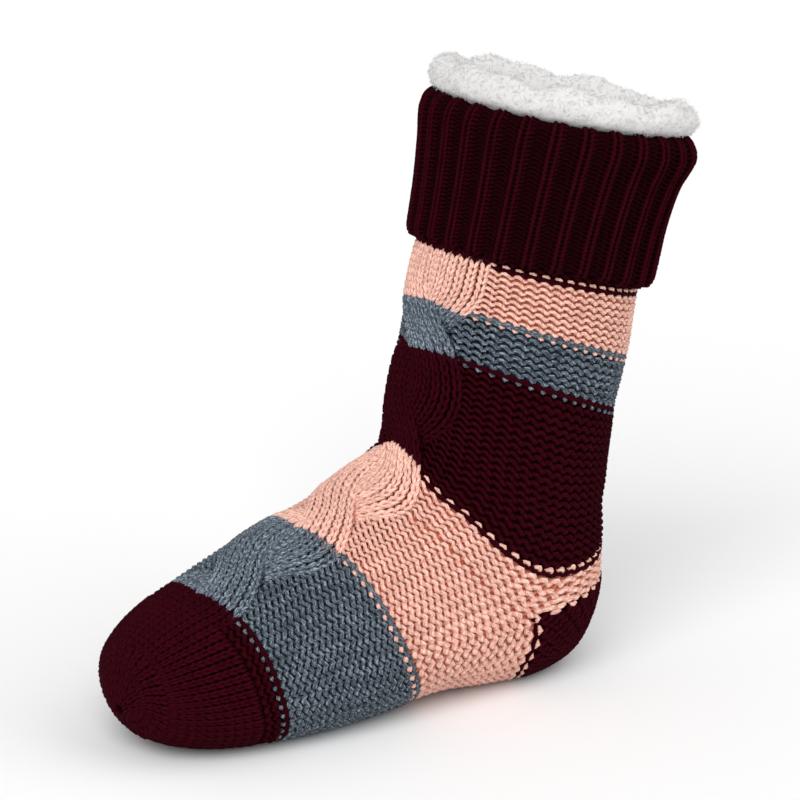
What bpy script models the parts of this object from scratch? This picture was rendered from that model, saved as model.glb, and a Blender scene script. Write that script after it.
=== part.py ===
"""House sock: a chunky slipper sock, knitted whole, with a cable down its front,
a ribbed cuff that is turned down over the leg, and a fleece roll in its collar.

Frame: +X to the toe, +Y to the wearer's left, +Z up. The origin is on the floor,
in the middle of the flat under the heel. The tables below are in millimetres.
"""
import math
from collections import namedtuple

import bmesh
import bpy
from mathutils import Vector

MM = 0.001

# Main sizes
KNIT_WALL = 3.0           # thickness of the knitted fabric
SEAT_GAP = 0.3            # clearance between pieces that touch
TOE_TIP_X = 195.0
TOE_TIP_Z = 27.0
SHAPE_STEPS = 40          # points around the foot and leg
SHAPE_RINGS = 43          # rings from the toe to the collar

# Cable down the front: two strands of knit that swap places
STRAND_SWING = 19.0       # how far a strand lies from the centre line, along the surface
STRAND_HALF_WIDTH = 21.0
STRAND_RISE = 3.0         # height of the strands over the purl ground
CROSS_PINCH = 3.0         # how far a crossing draws the fabric in
CROSS_REACH = 9.0         # length over which it does so
FRONT_RADIUS = 48.0       # mean radius of the front, turns an angle into a width

# Turned-down cuff
CUFF_RIBS = 27
CUFF_DROP = 57.0          # from the collar rim down to the cuff's edge
RIB_DEPTH = 1.8
RIB_SAMPLES = 4

# Fleece roll
FLEECE_STEPS = 72
FLEECE_LUMP = 1.5

# Each row is one section of the last. front is the point on the instep or shin, back the
# point on the sole, heel or calf; squareness 2 is an ellipse, more is fuller at the corners.
Section = namedtuple("Section", "name front_x front_z back_x back_z half_width squareness")
SECTIONS = (
    Section("toe_nose", 193.0, 40.0, 193.0, 16.0, 18.0, 2.0),
    Section("toe_round", 186.5, 49.5, 185.5, 7.0, 31.0, 2.1),
    Section("toe_front", 170.0, 59.0, 167.0, 0.8, 41.0, 2.3),
    Section("toe_band", 146.0, 68.0, 138.0, -2.0, 46.0, 2.5),
    Section("ball", 123.0, 77.5, 108.0, -2.5, 48.5, 2.5),
    Section("waist", 100.0, 87.0, 78.0, -1.5, 48.5, 2.4),
    Section("arch", 79.0, 96.0, 47.0, 1.5, 47.5, 2.3),
    Section("instep", 64.5, 104.5, 17.0, -1.2, 46.0, 2.3),
    Section("heel_sole", 57.5, 111.0, -9.0, -2.0, 44.5, 2.3),
    Section("heel_low", 54.8, 114.5, -32.5, 5.5, 43.5, 2.2),
    Section("heel_back", 53.6, 116.5, -44.5, 26.0, 43.0, 2.2),
    Section("heel_top", 52.8, 118.5, -47.5, 50.0, 43.5, 2.1),
    Section("ankle", 51.6, 122.0, -48.0, 65.0, 44.0, 2.1),
    Section("shin_low", 46.8, 141.0, -49.0, 94.0, 45.0, 2.1),
    Section("shin", 42.0, 160.0, -53.0, 121.0, 46.0, 2.1),
    Section("calf", 37.0, 181.0, -58.5, 146.0, 46.5, 2.1),
    Section("cuff_line", 31.0, 205.0, -65.0, 179.0, 47.0, 2.1),
    Section("cuff_middle", 25.5, 232.0, -73.5, 208.5, 49.5, 2.1),
    Section("collar", 21.5, 257.0, -82.0, 233.0, 53.0, 2.1),
)

# Stripes from the toe to the collar: each ends at a section of the table above.
Stripe = namedtuple("Stripe", "last_section yarn")
STRIPES = (
    Stripe("toe_band", "burgundy_knit"),
    Stripe("waist", "grey_knit"),
    Stripe("ankle", "pink_knit"),
    Stripe("shin", "burgundy_knit"),
    Stripe("calf", "grey_knit"),
    Stripe("cuff_line", "pink_knit"),
    Stripe("collar", "burgundy_knit"),
)

# Cable crossings, each between two sections of the front, at a share of the way.
Crossing = namedtuple("Crossing", "after_section share")
CROSSINGS = (
    Crossing("ball", -0.52),
    Crossing("arch", -0.48),
    Crossing("ankle", -0.18),
    Crossing("calf", -0.62),
)

# Closed profile of the cuff: rise over the collar rim, offset out from the knit's outer
# face, how much of the rib shows there, and how far it slouches out at the back.
CuffPoint = namedtuple("CuffPoint", "rise offset rib slouch")
CUFF_PROFILE = (
    CuffPoint(-CUFF_DROP, 0.9, 0.0, 0.0),
    CuffPoint(-CUFF_DROP * 0.75, 0.5, 0.0, 0.0),
    CuffPoint(-CUFF_DROP * 0.5, 1.5 * SEAT_GAP, 0.0, 0.0),
    CuffPoint(-CUFF_DROP * 0.25, 1.5 * SEAT_GAP, 0.0, 0.0),
    CuffPoint(SEAT_GAP, 1.5 * SEAT_GAP, 0.0, 0.0),
    CuffPoint(SEAT_GAP + 0.6, -KNIT_WALL, 0.0, 0.0),
    CuffPoint(3.6, -KNIT_WALL + 0.5, 0.0, 0.0),
    CuffPoint(5.0, 0.6, 0.2, 0.3),
    CuffPoint(3.0, 4.2, 0.7, 1.6),
    CuffPoint(-5.0, 5.6, 1.0, 3.6),
    CuffPoint(-CUFF_DROP * 0.28, 5.2, 1.0, 0.8),
    CuffPoint(-CUFF_DROP * 0.58, 4.8, 1.0, 0.2),
    CuffPoint(-CUFF_DROP * 0.88, 4.6, 1.0, 1.0),
    CuffPoint(-CUFF_DROP - 1.2, 3.4, 0.7, 1.0),
)

# Closed profile of the fleece roll: rise and offset as above, and how lumpy the pile is.
FleecePoint = namedtuple("FleecePoint", "rise offset lump")
FLEECE_PROFILE = (
    FleecePoint(-42.0, -KNIT_WALL - 1.5 * SEAT_GAP, 0.0),
    FleecePoint(-28.0, -KNIT_WALL - 1.5 * SEAT_GAP, 0.0),
    FleecePoint(-14.0, -KNIT_WALL - 1.5 * SEAT_GAP, 0.0),
    FleecePoint(0.0, -KNIT_WALL - 1.5 * SEAT_GAP, 0.0),
    FleecePoint(4.2, -KNIT_WALL - 1.5 * SEAT_GAP, 0.0),
    FleecePoint(5.6, 0.2, 0.0),
    FleecePoint(5.4, 2.6, 0.2),
    FleecePoint(9.5, 5.2, 1.0),
    FleecePoint(15.0, 4.0, 1.0),
    FleecePoint(19.5, -0.5, 1.0),
    FleecePoint(19.0, -6.0, 1.0),
    FleecePoint(14.0, -10.5, 1.0),
    FleecePoint(4.0, -12.0, 1.0),
    FleecePoint(-16.0, -11.0, 0.8),
    FleecePoint(-42.0, -9.0, 0.4),
)

# Principled colours, roughness
Finish = namedtuple("Finish", "red green blue roughness")
FINISHES = {
    "burgundy_knit": Finish(0.060, 0.006, 0.016, 0.90),
    "pink_knit": Finish(0.86, 0.42, 0.32, 0.90),
    "grey_knit": Finish(0.130, 0.165, 0.190, 0.90),
    "burgundy_rib": Finish(0.060, 0.006, 0.016, 0.90),
    "white_fleece": Finish(0.86, 0.85, 0.82, 0.95),
}


def chord(first, second):
    """Mean distance between two sections, over the front and the back."""
    front = math.hypot(second.front_x - first.front_x, second.front_z - first.front_z)
    back = math.hypot(second.back_x - first.back_x, second.back_z - first.back_z)
    return 0.5 * (front + back)


def running_stations():
    """Distance of each section from the toe, along the foot and leg."""
    stations = [0.0]
    for first, second in zip(SECTIONS, SECTIONS[1:]):
        stations.append(stations[-1] + chord(first, second))
    return stations


STATIONS = running_stations()
COLLAR_STATION = STATIONS[-1]


def station_of(name):
    """Distance along the sock of the section with this name."""
    names = [section.name for section in SECTIONS]
    return STATIONS[names.index(name)]


def slope(index, column):
    """Rate of change of one column of the table at one of its rows."""
    low = max(index - 1, 0)
    high = min(index + 1, len(SECTIONS) - 1)
    rise = getattr(SECTIONS[high], column) - getattr(SECTIONS[low], column)
    return rise / (STATIONS[high] - STATIONS[low])


def value_at(station, column):
    """Smooth value of one column of the table at a distance along the sock."""
    last = len(SECTIONS) - 1
    if station >= STATIONS[last]:
        return getattr(SECTIONS[last], column) + slope(last, column) * (station - STATIONS[last])
    index = 0
    while index < last - 1 and STATIONS[index + 1] <= station:
        index += 1
    span = STATIONS[index + 1] - STATIONS[index]
    t = (station - STATIONS[index]) / span
    start = getattr(SECTIONS[index], column)
    end = getattr(SECTIONS[index + 1], column)
    lean_start = slope(index, column) * span
    lean_end = slope(index + 1, column) * span
    return (start * (2 * t ** 3 - 3 * t ** 2 + 1)
            + lean_start * (t ** 3 - 2 * t ** 2 + t)
            + end * (-2 * t ** 3 + 3 * t ** 2)
            + lean_end * (t ** 3 - t ** 2))


def wall_point(station, angle, offset):
    """Point on the last, moved out by offset in the plane of its section.

    Angle 0 is the front of the leg or the top of the foot, and a positive angle goes to +Y.
    """
    front = Vector((value_at(station, "front_x"), 0.0, value_at(station, "front_z")))
    back = Vector((value_at(station, "back_x"), 0.0, value_at(station, "back_z")))
    half_width = value_at(station, "half_width")
    power = value_at(station, "squareness")
    centre = (front + back) * 0.5
    reach = (front - back) * 0.5
    c = math.cos(angle)
    s = math.sin(angle)
    radius = (abs(c) ** power + abs(s) ** power) ** (-1.0 / power)
    along = reach.normalized()
    outward_c = math.copysign(abs(c) ** (power - 1.0), c) / reach.length
    outward_s = math.copysign(abs(s) ** (power - 1.0), s) / half_width
    outward = along * outward_c + Vector((0.0, outward_s, 0.0))
    point = centre + reach * (c * radius) + Vector((0.0, s * radius * half_width, 0.0))
    return point + outward.normalized() * offset


def crossing_stations():
    """Distances along the sock at which the cable's strands cross."""
    places = []
    for crossing in CROSSINGS:
        names = [section.name for section in SECTIONS]
        index = names.index(crossing.after_section)
        step = STATIONS[index + 1] - STATIONS[index]
        places.append(STATIONS[index] + crossing.share * step)
    return places


CROSS_STATIONS = crossing_stations()


def strand_phase(station):
    """Half turns of the cable, counted from its first crossing."""
    gaps = [b - a for a, b in zip(CROSS_STATIONS, CROSS_STATIONS[1:])]
    if station <= CROSS_STATIONS[0]:
        return (station - CROSS_STATIONS[0]) / gaps[0]
    for index, gap in enumerate(gaps):
        if station <= CROSS_STATIONS[index + 1]:
            return index + (station - CROSS_STATIONS[index]) / gap
    return len(gaps) + (station - CROSS_STATIONS[-1]) / gaps[-1]


def lobe(distance):
    """Rounded profile of one strand."""
    share = min(abs(distance) / STRAND_HALF_WIDTH, 1.0)
    return math.cos(share * math.pi * 0.5)


def cable_relief(station, angle):
    """Height of the cable's strands over the plain knit."""
    across = math.atan2(math.sin(angle), math.cos(angle)) * FRONT_RADIUS
    wave = math.sin(strand_phase(station) * math.pi)
    swing = STRAND_SWING * math.copysign(abs(wave) ** 0.6, wave)
    rise = STRAND_RISE * max(lobe(across - swing), lobe(across + swing))
    pinch = sum(math.exp(-((station - place) / CROSS_REACH) ** 2) for place in CROSS_STATIONS)
    pinch *= CROSS_PINCH * lobe(across * 0.7)
    start = station_of("toe_band")
    end = station_of("cuff_line")
    fade = min(max((station - start) / 10.0 + 1.0, 0.0), 1.0)
    fade *= min(max((end - station) / 14.0 - 0.4, 0.0), 1.0)
    return (rise - pinch) * fade


def sock_point(station, angle):
    """Point on the outer face of the knit, pressed flat where it stands on the floor."""
    point = wall_point(station, angle, cable_relief(station, angle))
    point.z = max(point.z, 0.0)
    return point * MM


def band_point(rise, angle, offset):
    """Point of the cuff or the fleece, placed from the collar rim."""
    return wall_point(COLLAR_STATION + rise, angle, offset) * MM


def ring_stations():
    """Rings of the knit: even steps, with a ring on the edge of each stripe."""
    edges = [0.0] + [station_of(stripe.last_section) for stripe in STRIPES]
    step = COLLAR_STATION / (SHAPE_RINGS - 1)
    rings = []
    for low, high in zip(edges, edges[1:]):
        count = max(int(round((high - low) / step)), 1)
        for index in range(count):
            rings.append(low + (high - low) * index / count)
    rings.append(COLLAR_STATION)
    return rings


def stripe_index(station):
    """Which stripe a distance along the sock lies in."""
    for index, stripe in enumerate(STRIPES):
        if station < station_of(stripe.last_section):
            return index
    return len(STRIPES) - 1


def make_material(name):
    """Matt yarn or pile of one colour."""
    finish = FINISHES[name]
    material = bpy.data.materials.new(name)
    material.use_nodes = True
    shader = material.node_tree.nodes["Principled BSDF"]
    shader.inputs["Base Color"].default_value = (finish.red, finish.green, finish.blue, 1.0)
    shader.inputs["Roughness"].default_value = finish.roughness
    shader.inputs["Metallic"].default_value = 0.0
    return material


def add_object(name, form, material_names, collection):
    """Turn a finished bmesh into a named, smooth-shaded object."""
    mesh = bpy.data.meshes.new(name)
    bmesh.ops.recalc_face_normals(form, faces=form.faces)
    form.to_mesh(mesh)
    form.free()
    mesh.shade_smooth()
    for material_name in material_names:
        material = bpy.data.materials.get(material_name) or make_material(material_name)
        mesh.materials.append(material)
    piece = bpy.data.objects.new(name, mesh)
    collection.objects.link(piece)
    return piece


def bridge(form, first, second, material_index):
    """Faces between two rings with the same number of points."""
    count = len(first)
    for index in range(count):
        following = (index + 1) % count
        face = form.faces.new((first[index], first[following], second[following], second[index]))
        face.material_index = material_index


def build_knit_sock(collection):
    """Foot, heel and leg in one wall: a lofted skin, closed at the toe, open at the collar."""
    form = bmesh.new()
    yarns = sorted({stripe.yarn for stripe in STRIPES})
    stations = ring_stations()
    rings = []
    for station in stations:
        angles = [2.0 * math.pi * index / SHAPE_STEPS for index in range(SHAPE_STEPS)]
        rings.append([form.verts.new(sock_point(station, angle)) for angle in angles])
    tip = form.verts.new(Vector((TOE_TIP_X, 0.0, TOE_TIP_Z)) * MM)
    for index in range(SHAPE_STEPS):
        face = form.faces.new((tip, rings[0][index], rings[0][(index + 1) % SHAPE_STEPS]))
        face.material_index = yarns.index(STRIPES[0].yarn)
    for station, first, second in zip(stations, rings, rings[1:]):
        yarn = STRIPES[stripe_index(station + 0.01)].yarn
        bridge(form, first, second, yarns.index(yarn))
    sock = add_object("knit_sock", form, yarns, collection)
    wall = sock.modifiers.new("knit_wall", "SOLIDIFY")
    wall.thickness = KNIT_WALL * MM
    wall.offset = -1.0
    wall.use_even_offset = True
    wall.use_quality_normals = True
    return sock


def build_loop(name, rows, material_name, collection):
    """Closed band: each row is a ring of points, and the last row joins the first."""
    form = bmesh.new()
    rings = [[form.verts.new(point) for point in row] for row in rows]
    for index, ring in enumerate(rings):
        bridge(form, ring, rings[(index + 1) % len(rings)], 0)
    return add_object(name, form, [material_name], collection)


def build_rib_cuff(collection):
    """The leg's top turned down outside: one rib stands out between each two grooves."""
    steps = CUFF_RIBS * RIB_SAMPLES
    rows = []
    for place in CUFF_PROFILE:
        row = []
        for index in range(steps):
            angle = 2.0 * math.pi * index / steps
            rib = place.rib * RIB_DEPTH * 0.5 * math.cos(CUFF_RIBS * angle)
            back = (0.5 - 0.5 * math.cos(angle)) ** 2
            row.append(band_point(place.rise, angle, place.offset + rib + place.slouch * back))
        rows.append(row)
    return build_loop("rib_cuff", rows, "burgundy_rib", collection)


def pile_lump(angle, row):
    """Uneven height of the curly pile."""
    wave = math.sin(9.0 * angle + 1.3 * row) + 0.8 * math.sin(17.0 * angle - 2.1 * row)
    return FLEECE_LUMP * 0.5 * (wave + 0.5 * math.sin(5.0 * angle + 0.7))


def build_fleece_collar(collection):
    """Fleece that lines the collar and rolls up over the fold."""
    rows = []
    for number, place in enumerate(FLEECE_PROFILE):
        row = []
        for index in range(FLEECE_STEPS):
            angle = 2.0 * math.pi * index / FLEECE_STEPS
            lump = place.lump * pile_lump(angle, number)
            side = 1.0 if place.offset > -4.0 else -1.0
            rise = place.rise + (0.6 * lump if place.rise > 8.0 else 0.0)
            row.append(band_point(rise, angle, place.offset + 0.6 * side * lump))
        rows.append(row)
    return build_loop("fleece_collar", rows, "white_fleece", collection)


def clear_scene():
    """Start from an empty scene."""
    for piece in list(bpy.data.objects):
        bpy.data.objects.remove(piece, do_unlink=True)


def main():
    clear_scene()
    collection = bpy.data.collections.new("house_sock")
    bpy.context.scene.collection.children.link(collection)
    build_knit_sock(collection)
    build_rib_cuff(collection)
    build_fleece_collar(collection)


main()
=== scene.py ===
"""Looks of a cable-knit house sock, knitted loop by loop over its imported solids.

Frame: +X to the toe, +Y to the wearer's left, +Z up, origin on the floor under the heel.
The shape tables are in millimetres, as in the part's source.
"""

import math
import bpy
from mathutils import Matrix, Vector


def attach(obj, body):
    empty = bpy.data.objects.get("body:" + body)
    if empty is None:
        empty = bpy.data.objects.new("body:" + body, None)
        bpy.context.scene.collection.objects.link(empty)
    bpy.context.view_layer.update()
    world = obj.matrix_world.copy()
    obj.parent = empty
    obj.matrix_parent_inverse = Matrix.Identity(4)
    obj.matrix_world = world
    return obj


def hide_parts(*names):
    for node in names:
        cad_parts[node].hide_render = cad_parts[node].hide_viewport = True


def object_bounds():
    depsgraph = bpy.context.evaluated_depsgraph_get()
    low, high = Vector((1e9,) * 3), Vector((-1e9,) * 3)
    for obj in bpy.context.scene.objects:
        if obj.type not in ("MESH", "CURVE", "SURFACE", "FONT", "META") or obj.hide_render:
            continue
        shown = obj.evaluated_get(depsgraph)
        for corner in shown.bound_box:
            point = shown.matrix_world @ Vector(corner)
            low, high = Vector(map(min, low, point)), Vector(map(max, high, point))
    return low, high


bl_info = {
    "name": "Cable Knit House Sock",
    "version": (1, 0, 0),
    "blender": (4, 5, 0),
    "location": "3D View > Sidebar > House Sock",
    "description": "Knits a striped slipper sock, loop by loop, over its packed solids",
    "category": "Add Mesh",
}

from collections import namedtuple

import bpy
import numpy as np
from mathutils import Vector, noise

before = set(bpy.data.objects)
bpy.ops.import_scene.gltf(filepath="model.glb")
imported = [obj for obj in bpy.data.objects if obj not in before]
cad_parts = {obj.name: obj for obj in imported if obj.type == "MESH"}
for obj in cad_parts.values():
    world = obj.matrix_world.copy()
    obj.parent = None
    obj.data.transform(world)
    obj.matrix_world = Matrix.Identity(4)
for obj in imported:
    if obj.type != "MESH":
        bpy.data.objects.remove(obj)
CAD_LOW, CAD_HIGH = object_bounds()

MM = 0.001
FULL_TURN = 2.0 * math.pi

# Shape of the last

Section = namedtuple("Section", "name front_x front_z back_x back_z half_width squareness")
SECTIONS = (
    Section("toe_nose", 193.0, 40.0, 193.0, 16.0, 18.0, 2.0),
    Section("toe_round", 186.5, 49.5, 185.5, 7.0, 31.0, 2.1),
    Section("toe_front", 170.0, 59.0, 167.0, 0.8, 41.0, 2.3),
    Section("toe_band", 146.0, 68.0, 138.0, -2.0, 46.0, 2.5),
    Section("ball", 123.0, 77.5, 108.0, -2.5, 48.5, 2.5),
    Section("waist", 100.0, 87.0, 78.0, -1.5, 48.5, 2.4),
    Section("arch", 79.0, 96.0, 47.0, 1.5, 47.5, 2.3),
    Section("instep", 64.5, 104.5, 17.0, -1.2, 46.0, 2.3),
    Section("heel_sole", 57.5, 111.0, -9.0, -2.0, 44.5, 2.3),
    Section("heel_low", 54.8, 114.5, -32.5, 5.5, 43.5, 2.2),
    Section("heel_back", 53.6, 116.5, -44.5, 26.0, 43.0, 2.2),
    Section("heel_top", 52.8, 118.5, -47.5, 50.0, 43.5, 2.1),
    Section("ankle", 51.6, 122.0, -48.0, 65.0, 44.0, 2.1),
    Section("shin_low", 46.8, 141.0, -49.0, 94.0, 45.0, 2.1),
    Section("shin", 42.0, 160.0, -53.0, 121.0, 46.0, 2.1),
    Section("calf", 37.0, 181.0, -58.5, 146.0, 46.5, 2.1),
    Section("cuff_line", 31.0, 205.0, -65.0, 179.0, 47.0, 2.1),
    Section("cuff_middle", 25.5, 232.0, -73.5, 208.5, 49.5, 2.1),
    Section("collar", 21.5, 257.0, -82.0, 233.0, 53.0, 2.1),
)
NAMES = [section.name for section in SECTIONS]
TABLE = np.array([section[1:] for section in SECTIONS])
NOSE_LENGTH = 14.0            # of the rounded tip, before the first section

# Rows of the knit: each band of yarn runs between two edges, with its own count of
# purl rows round the sides and knit rows on the front panel. The reaches tell how far its
# first and last loops stand over the edge: the darker of two yarns is drawn back below 1.
Band = namedtuple("Band", "piece yarn low high purl_rows panel_rows foot_reach head_reach")
BANDS = (
    Band("toe_edge", "burgundy", "toe_edge", "toe", 3, 3, 1.0, 0.75),
    Band("foot_grey", "grey", "toe", "waist", 18, 15, 1.08, 0.75),
    Band("leg_burgundy", "burgundy", "ankle", "shin", 20, 13, 0.75, 0.75),
    Band("leg_grey", "grey", "shin", "calf", 7, 6, 1.08, 0.75),
    Band("leg_pink", "pink", "calf", "cuff", 9, 8, 1.08, 1.08),
    Band("leg_under_cuff", "burgundy", "cuff", "hidden", 5, 5, 0.75, 1.0),
)
PINK_ROWS_BEFORE_HEEL = 14
PINK_ROWS_AFTER_HEEL = 5
PINK_PANEL_ROWS = 16

# Height of an edge by its angle from the front
EdgeHeight = namedtuple("EdgeHeight", "degrees height")
ANKLE_EDGE = (
    EdgeHeight(0, 116.0), EdgeHeight(27, 106.5), EdgeHeight(54, 90.5), EdgeHeight(80, 67.5),
    EdgeHeight(95, 56.5), EdgeHeight(108, 54.5), EdgeHeight(130, 55.5), EdgeHeight(155, 60.0),
    EdgeHeight(180, 64.0),
)
HEEL_TOP_EDGE = (
    EdgeHeight(0, 110.0), EdgeHeight(108, 36.0), EdgeHeight(120, 38.5), EdgeHeight(150, 44.0),
    EdgeHeight(180, 47.0),
)
HEEL_CORNER_DEGREES = 108.0
HEEL_CORNER_SHARE = 0.58      # of the way from the instep to the heel_sole section
HEEL_FRONT_SLANT = 11.0       # how much further back the heel's front edge starts at its corner
HEEL_FRONT_DEGREES = 34.0     # turn from the corner in which that slant ends
HEEL_SPLIT_DEGREES = 66.0     # where the pink rows begin to part for the heel

# Cable crossings on the front: from a section, by a share of the way to the next, which is
# below zero where the crossing lies before the section
Crossing = namedtuple("Crossing", "section share")
CROSSINGS = (
    Crossing("ball", -0.52),
    Crossing("arch", -0.48),
    Crossing("ankle", -0.18),
    Crossing("calf", -0.62),
)

# Soft troughs of the empty sock, and ridges where the depth is below zero: each lies at a
# distance beyond a section, and its length runs around the sock
Crease = namedtuple("Crease", "section beyond degrees length spread depth slant")
CREASES = (
    Crease("instep", 8.0, 0.0, 30.0, 9.0, 0.6, 0.0),
    Crease("heel_sole", 10.0, 64.0, 26.0, 8.0, 1.2, 0.35),
    Crease("ankle", 6.0, 168.0, 34.0, 7.0, 1.6, 0.0),
    Crease("shin", -4.0, 176.0, 30.0, 6.0, 1.3, 0.1),
    Crease("calf", 2.0, 120.0, 22.0, 9.0, -0.9, 0.2),
    Crease("toe_round", -3.0, 160.0, 9.0, 3.0, 1.6, 0.3),
    Crease("toe_round", 4.0, 205.0, 9.0, 3.0, 1.3, -0.3),
)

# Path of the cuff from its lower edge up, over the fold and into the collar: rise over the
# collar rim, offset from the last, how far it slouches at the back
CuffPoint = namedtuple("CuffPoint", "rise offset slouch")
CUFF_PATH = (
    CuffPoint(-56.2, 0.9, 0.6), CuffPoint(-58.4, 2.2, 1.0), CuffPoint(-56.4, 3.4, 1.0),
    CuffPoint(-48.0, 3.5, 0.9), CuffPoint(-33.0, 3.6, 0.2), CuffPoint(-16.0, 4.0, 0.8),
    CuffPoint(-5.0, 4.4, 3.6), CuffPoint(1.6, 3.5, 1.8), CuffPoint(4.2, 1.2, 0.6),
    CuffPoint(4.0, -1.4, 0.2), CuffPoint(1.0, -2.8, 0.0),
)

# Profile of the fleece roll, up inside the collar, over the fold and back down inside:
# rise over the collar rim, offset from the last, lumpiness
FleecePoint = namedtuple("FleecePoint", "rise offset lump")
FLEECE_PATH = (
    FleecePoint(-42.0, -3.6, 0.0), FleecePoint(-20.0, -3.6, 0.0), FleecePoint(0.0, -3.6, 0.0),
    FleecePoint(4.0, -2.6, 0.1), FleecePoint(6.6, 0.2, 0.5), FleecePoint(9.0, 2.6, 0.9),
    FleecePoint(14.0, 3.0, 1.0), FleecePoint(18.2, 0.2, 1.0), FleecePoint(19.2, -4.6, 1.0),
    FleecePoint(15.0, -9.6, 1.0), FleecePoint(4.0, -11.2, 1.0), FleecePoint(-16.0, -10.4, 0.9),
    FleecePoint(-42.0, -8.6, 0.6),
)

# Set of the loops, in millimetres where nothing else is said
LOOP_POINTS = 10              # points of yarn in one stitch
STITCH_ROOM = 5.6             # usual width of a stitch
ROW_ROOM = 3.4                # usual height of a row
DEEPEST = -3.0                # lowest that a yarn's middle goes, just over the lining
FLOOR_PRESS = 0.5             # height of the fabric's mean face where it rests on the floor
PLAIN_DIVE = 1.9              # how late a purl loop dives into the fabric
EDGE_DIVE = 1.2               # the same in a row at a change of colour, so that it shows as dashes
EDGE_WIDTH = 0.86             # share of the yarn's width that is left in such a row
POCKET_CLOSE = 0.075          # how far a stitch's legs draw together at the toe and heel
PANEL_CLOSE = 0.045           # the same on the cable
HIDDEN_STITCHES = 4           # purl stitches of a round that lie under the strands
STRAND_SWING = 2.7            # stitches that a strand wanders to either side
STRAND_HALF = 3.9             # half the width of a strand's rounded top, in stitches
PANEL_FADE = 12.0             # length in which the strands rise at the panel's ends
ROW_TILT = 0.10               # how far a row turns with its strand
CROSS_PINCH = 2.8             # how far a crossing draws the fabric in
CROSS_FLANK = 34.0            # how far to each side of the front it does so
LEG_RADIUS = 48.0             # of the fabric round the foot and leg, on average
CREASE_RADIUS = 46.0          # the same where the creases lie
RIB_WIDTH = 0.90              # of a knit rib, in stitches
RIB_MIDDLE = 0.45             # from a rib's edge to its middle, in stitches

# Painted light and shade in a yarn's colour: lighter at the top of a pocket's loops, darker
# where they dive; lighter on a rib, darker in a groove; and lighter on the smooth panel
POCKET_PAINTED_LIGHT = 2.6
RIB_PAINTED_LIGHT = 8.0
PANEL_PAINTED_LIGHT = {"grey": 5.0, "pink": 0.8}

# Seeds of the uneven stitches and hairs, each the first of its run
SEEDS = {"toe": 100, "tip": 130, "bands": 200, "before_heel": 300, "after_heel": 310,
         "pink_panel": 320, "heel": 400, "heel_edge": 460, "cuff": 500, "hairs": 61}

TOE_ROUNDS = 13
TOE_HALVED_ROUNDS = 3         # rounds next to the tip, with half the stitches
TIP_STITCHES = (7, 13, 18, 27)
BACKING_COLUMNS = 108
BACKING_DEPTH = 2.1           # of the fabric's inner face under its outer one
CUFF_BACKING_DEPTH = 1.5
LINING_DEPTH = 4.5
LINING_PILE = 1.6
FLEECE_GRID = (70, 340)       # rows and columns
LINING_ROWS = 90
FLOOR_REACH = 40.0            # metres from the sock to the floor's edge
SENSOR_WIDTH = 36.0


class SockSizes(bpy.types.PropertyGroup):
    """Sizes of the yarn and its loops."""

    yarn_radius: bpy.props.FloatProperty(
        name="Yarn Radius", description="Half the width of the yarn",
        default=0.00112, min=0.0004, unit="LENGTH")
    loop_depth: bpy.props.FloatProperty(
        name="Loop Depth", description="How far a loop bows in and out of the fabric",
        default=0.00095, unit="LENGTH")
    purl_height: bpy.props.FloatProperty(
        name="Purl Height", description="Half height of a purl loop, in rows", default=0.75)
    knit_height: bpy.props.FloatProperty(
        name="Knit Height", description="Half height of a knit loop, in rows", default=0.86)
    purl_slant: bpy.props.FloatProperty(
        name="Purl Slant", description="How far a purl bump leans, in rows", default=0.06)
    stitches: bpy.props.IntProperty(
        name="Stitches", description="Stitches in one round", default=54)
    strand_stitches: bpy.props.IntProperty(
        name="Strand Stitches", description="Stitches in one strand of the cable", default=6)
    strand_rise: bpy.props.FloatProperty(
        name="Strand Rise", description="Height of a cable strand over the purl ground",
        default=0.0016, unit="LENGTH")
    cross_lift: bpy.props.FloatProperty(
        name="Crossing Lift", description="How far a crossing parts the two strands",
        default=0.0021, unit="LENGTH")
    cuff_rows: bpy.props.IntProperty(
        name="Cuff Rows", description="Rows of the cuff, edge to collar", default=38)
    rib_depth: bpy.props.FloatProperty(
        name="Rib Depth", description="Height of a rib over the groove beside it",
        default=0.0030, unit="LENGTH")
    hairs: bpy.props.IntProperty(
        name="Hairs", description="Short hairs that stand out of the fleece roll", default=4200)
    pile_lump: bpy.props.FloatProperty(
        name="Pile Lump", description="Height of the lumps of fleece",
        default=0.0015, unit="LENGTH")


class SockColours(bpy.types.PropertyGroup):
    """Yarn and pile colours."""

    burgundy: bpy.props.FloatVectorProperty(
        name="Burgundy", description="Toe, heel, wide leg stripe and cuff",
        subtype="COLOR", default=(0.029, 0.0011, 0.0045))
    pink: bpy.props.FloatVectorProperty(
        name="Salmon Pink", description="Foot and upper stripe",
        subtype="COLOR", default=(0.785, 0.485, 0.402))
    # Also the colour of the painted shade in the grooves between the grey yarn's plies
    grey_dark: bpy.props.FloatVectorProperty(
        name="Grey, Dark Fibre", description="Dark flecks of the melange yarn",
        subtype="COLOR", default=(0.028, 0.037, 0.049))
    grey: bpy.props.FloatVectorProperty(
        name="Grey", description="Main tone of the melange yarn",
        subtype="COLOR", default=(0.095, 0.116, 0.140))
    grey_light: bpy.props.FloatVectorProperty(
        name="Grey, Light Fibre", description="Light flecks of the melange yarn",
        subtype="COLOR", default=(0.275, 0.32, 0.365))
    fleece: bpy.props.FloatVectorProperty(
        name="Fleece", description="Curly pile at the collar and inside",
        subtype="COLOR", default=(0.675, 0.660, 0.650))
    floor: bpy.props.FloatVectorProperty(
        name="Floor", description="Plain studio floor",
        subtype="COLOR", default=(0.90, 0.90, 0.90))


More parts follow.
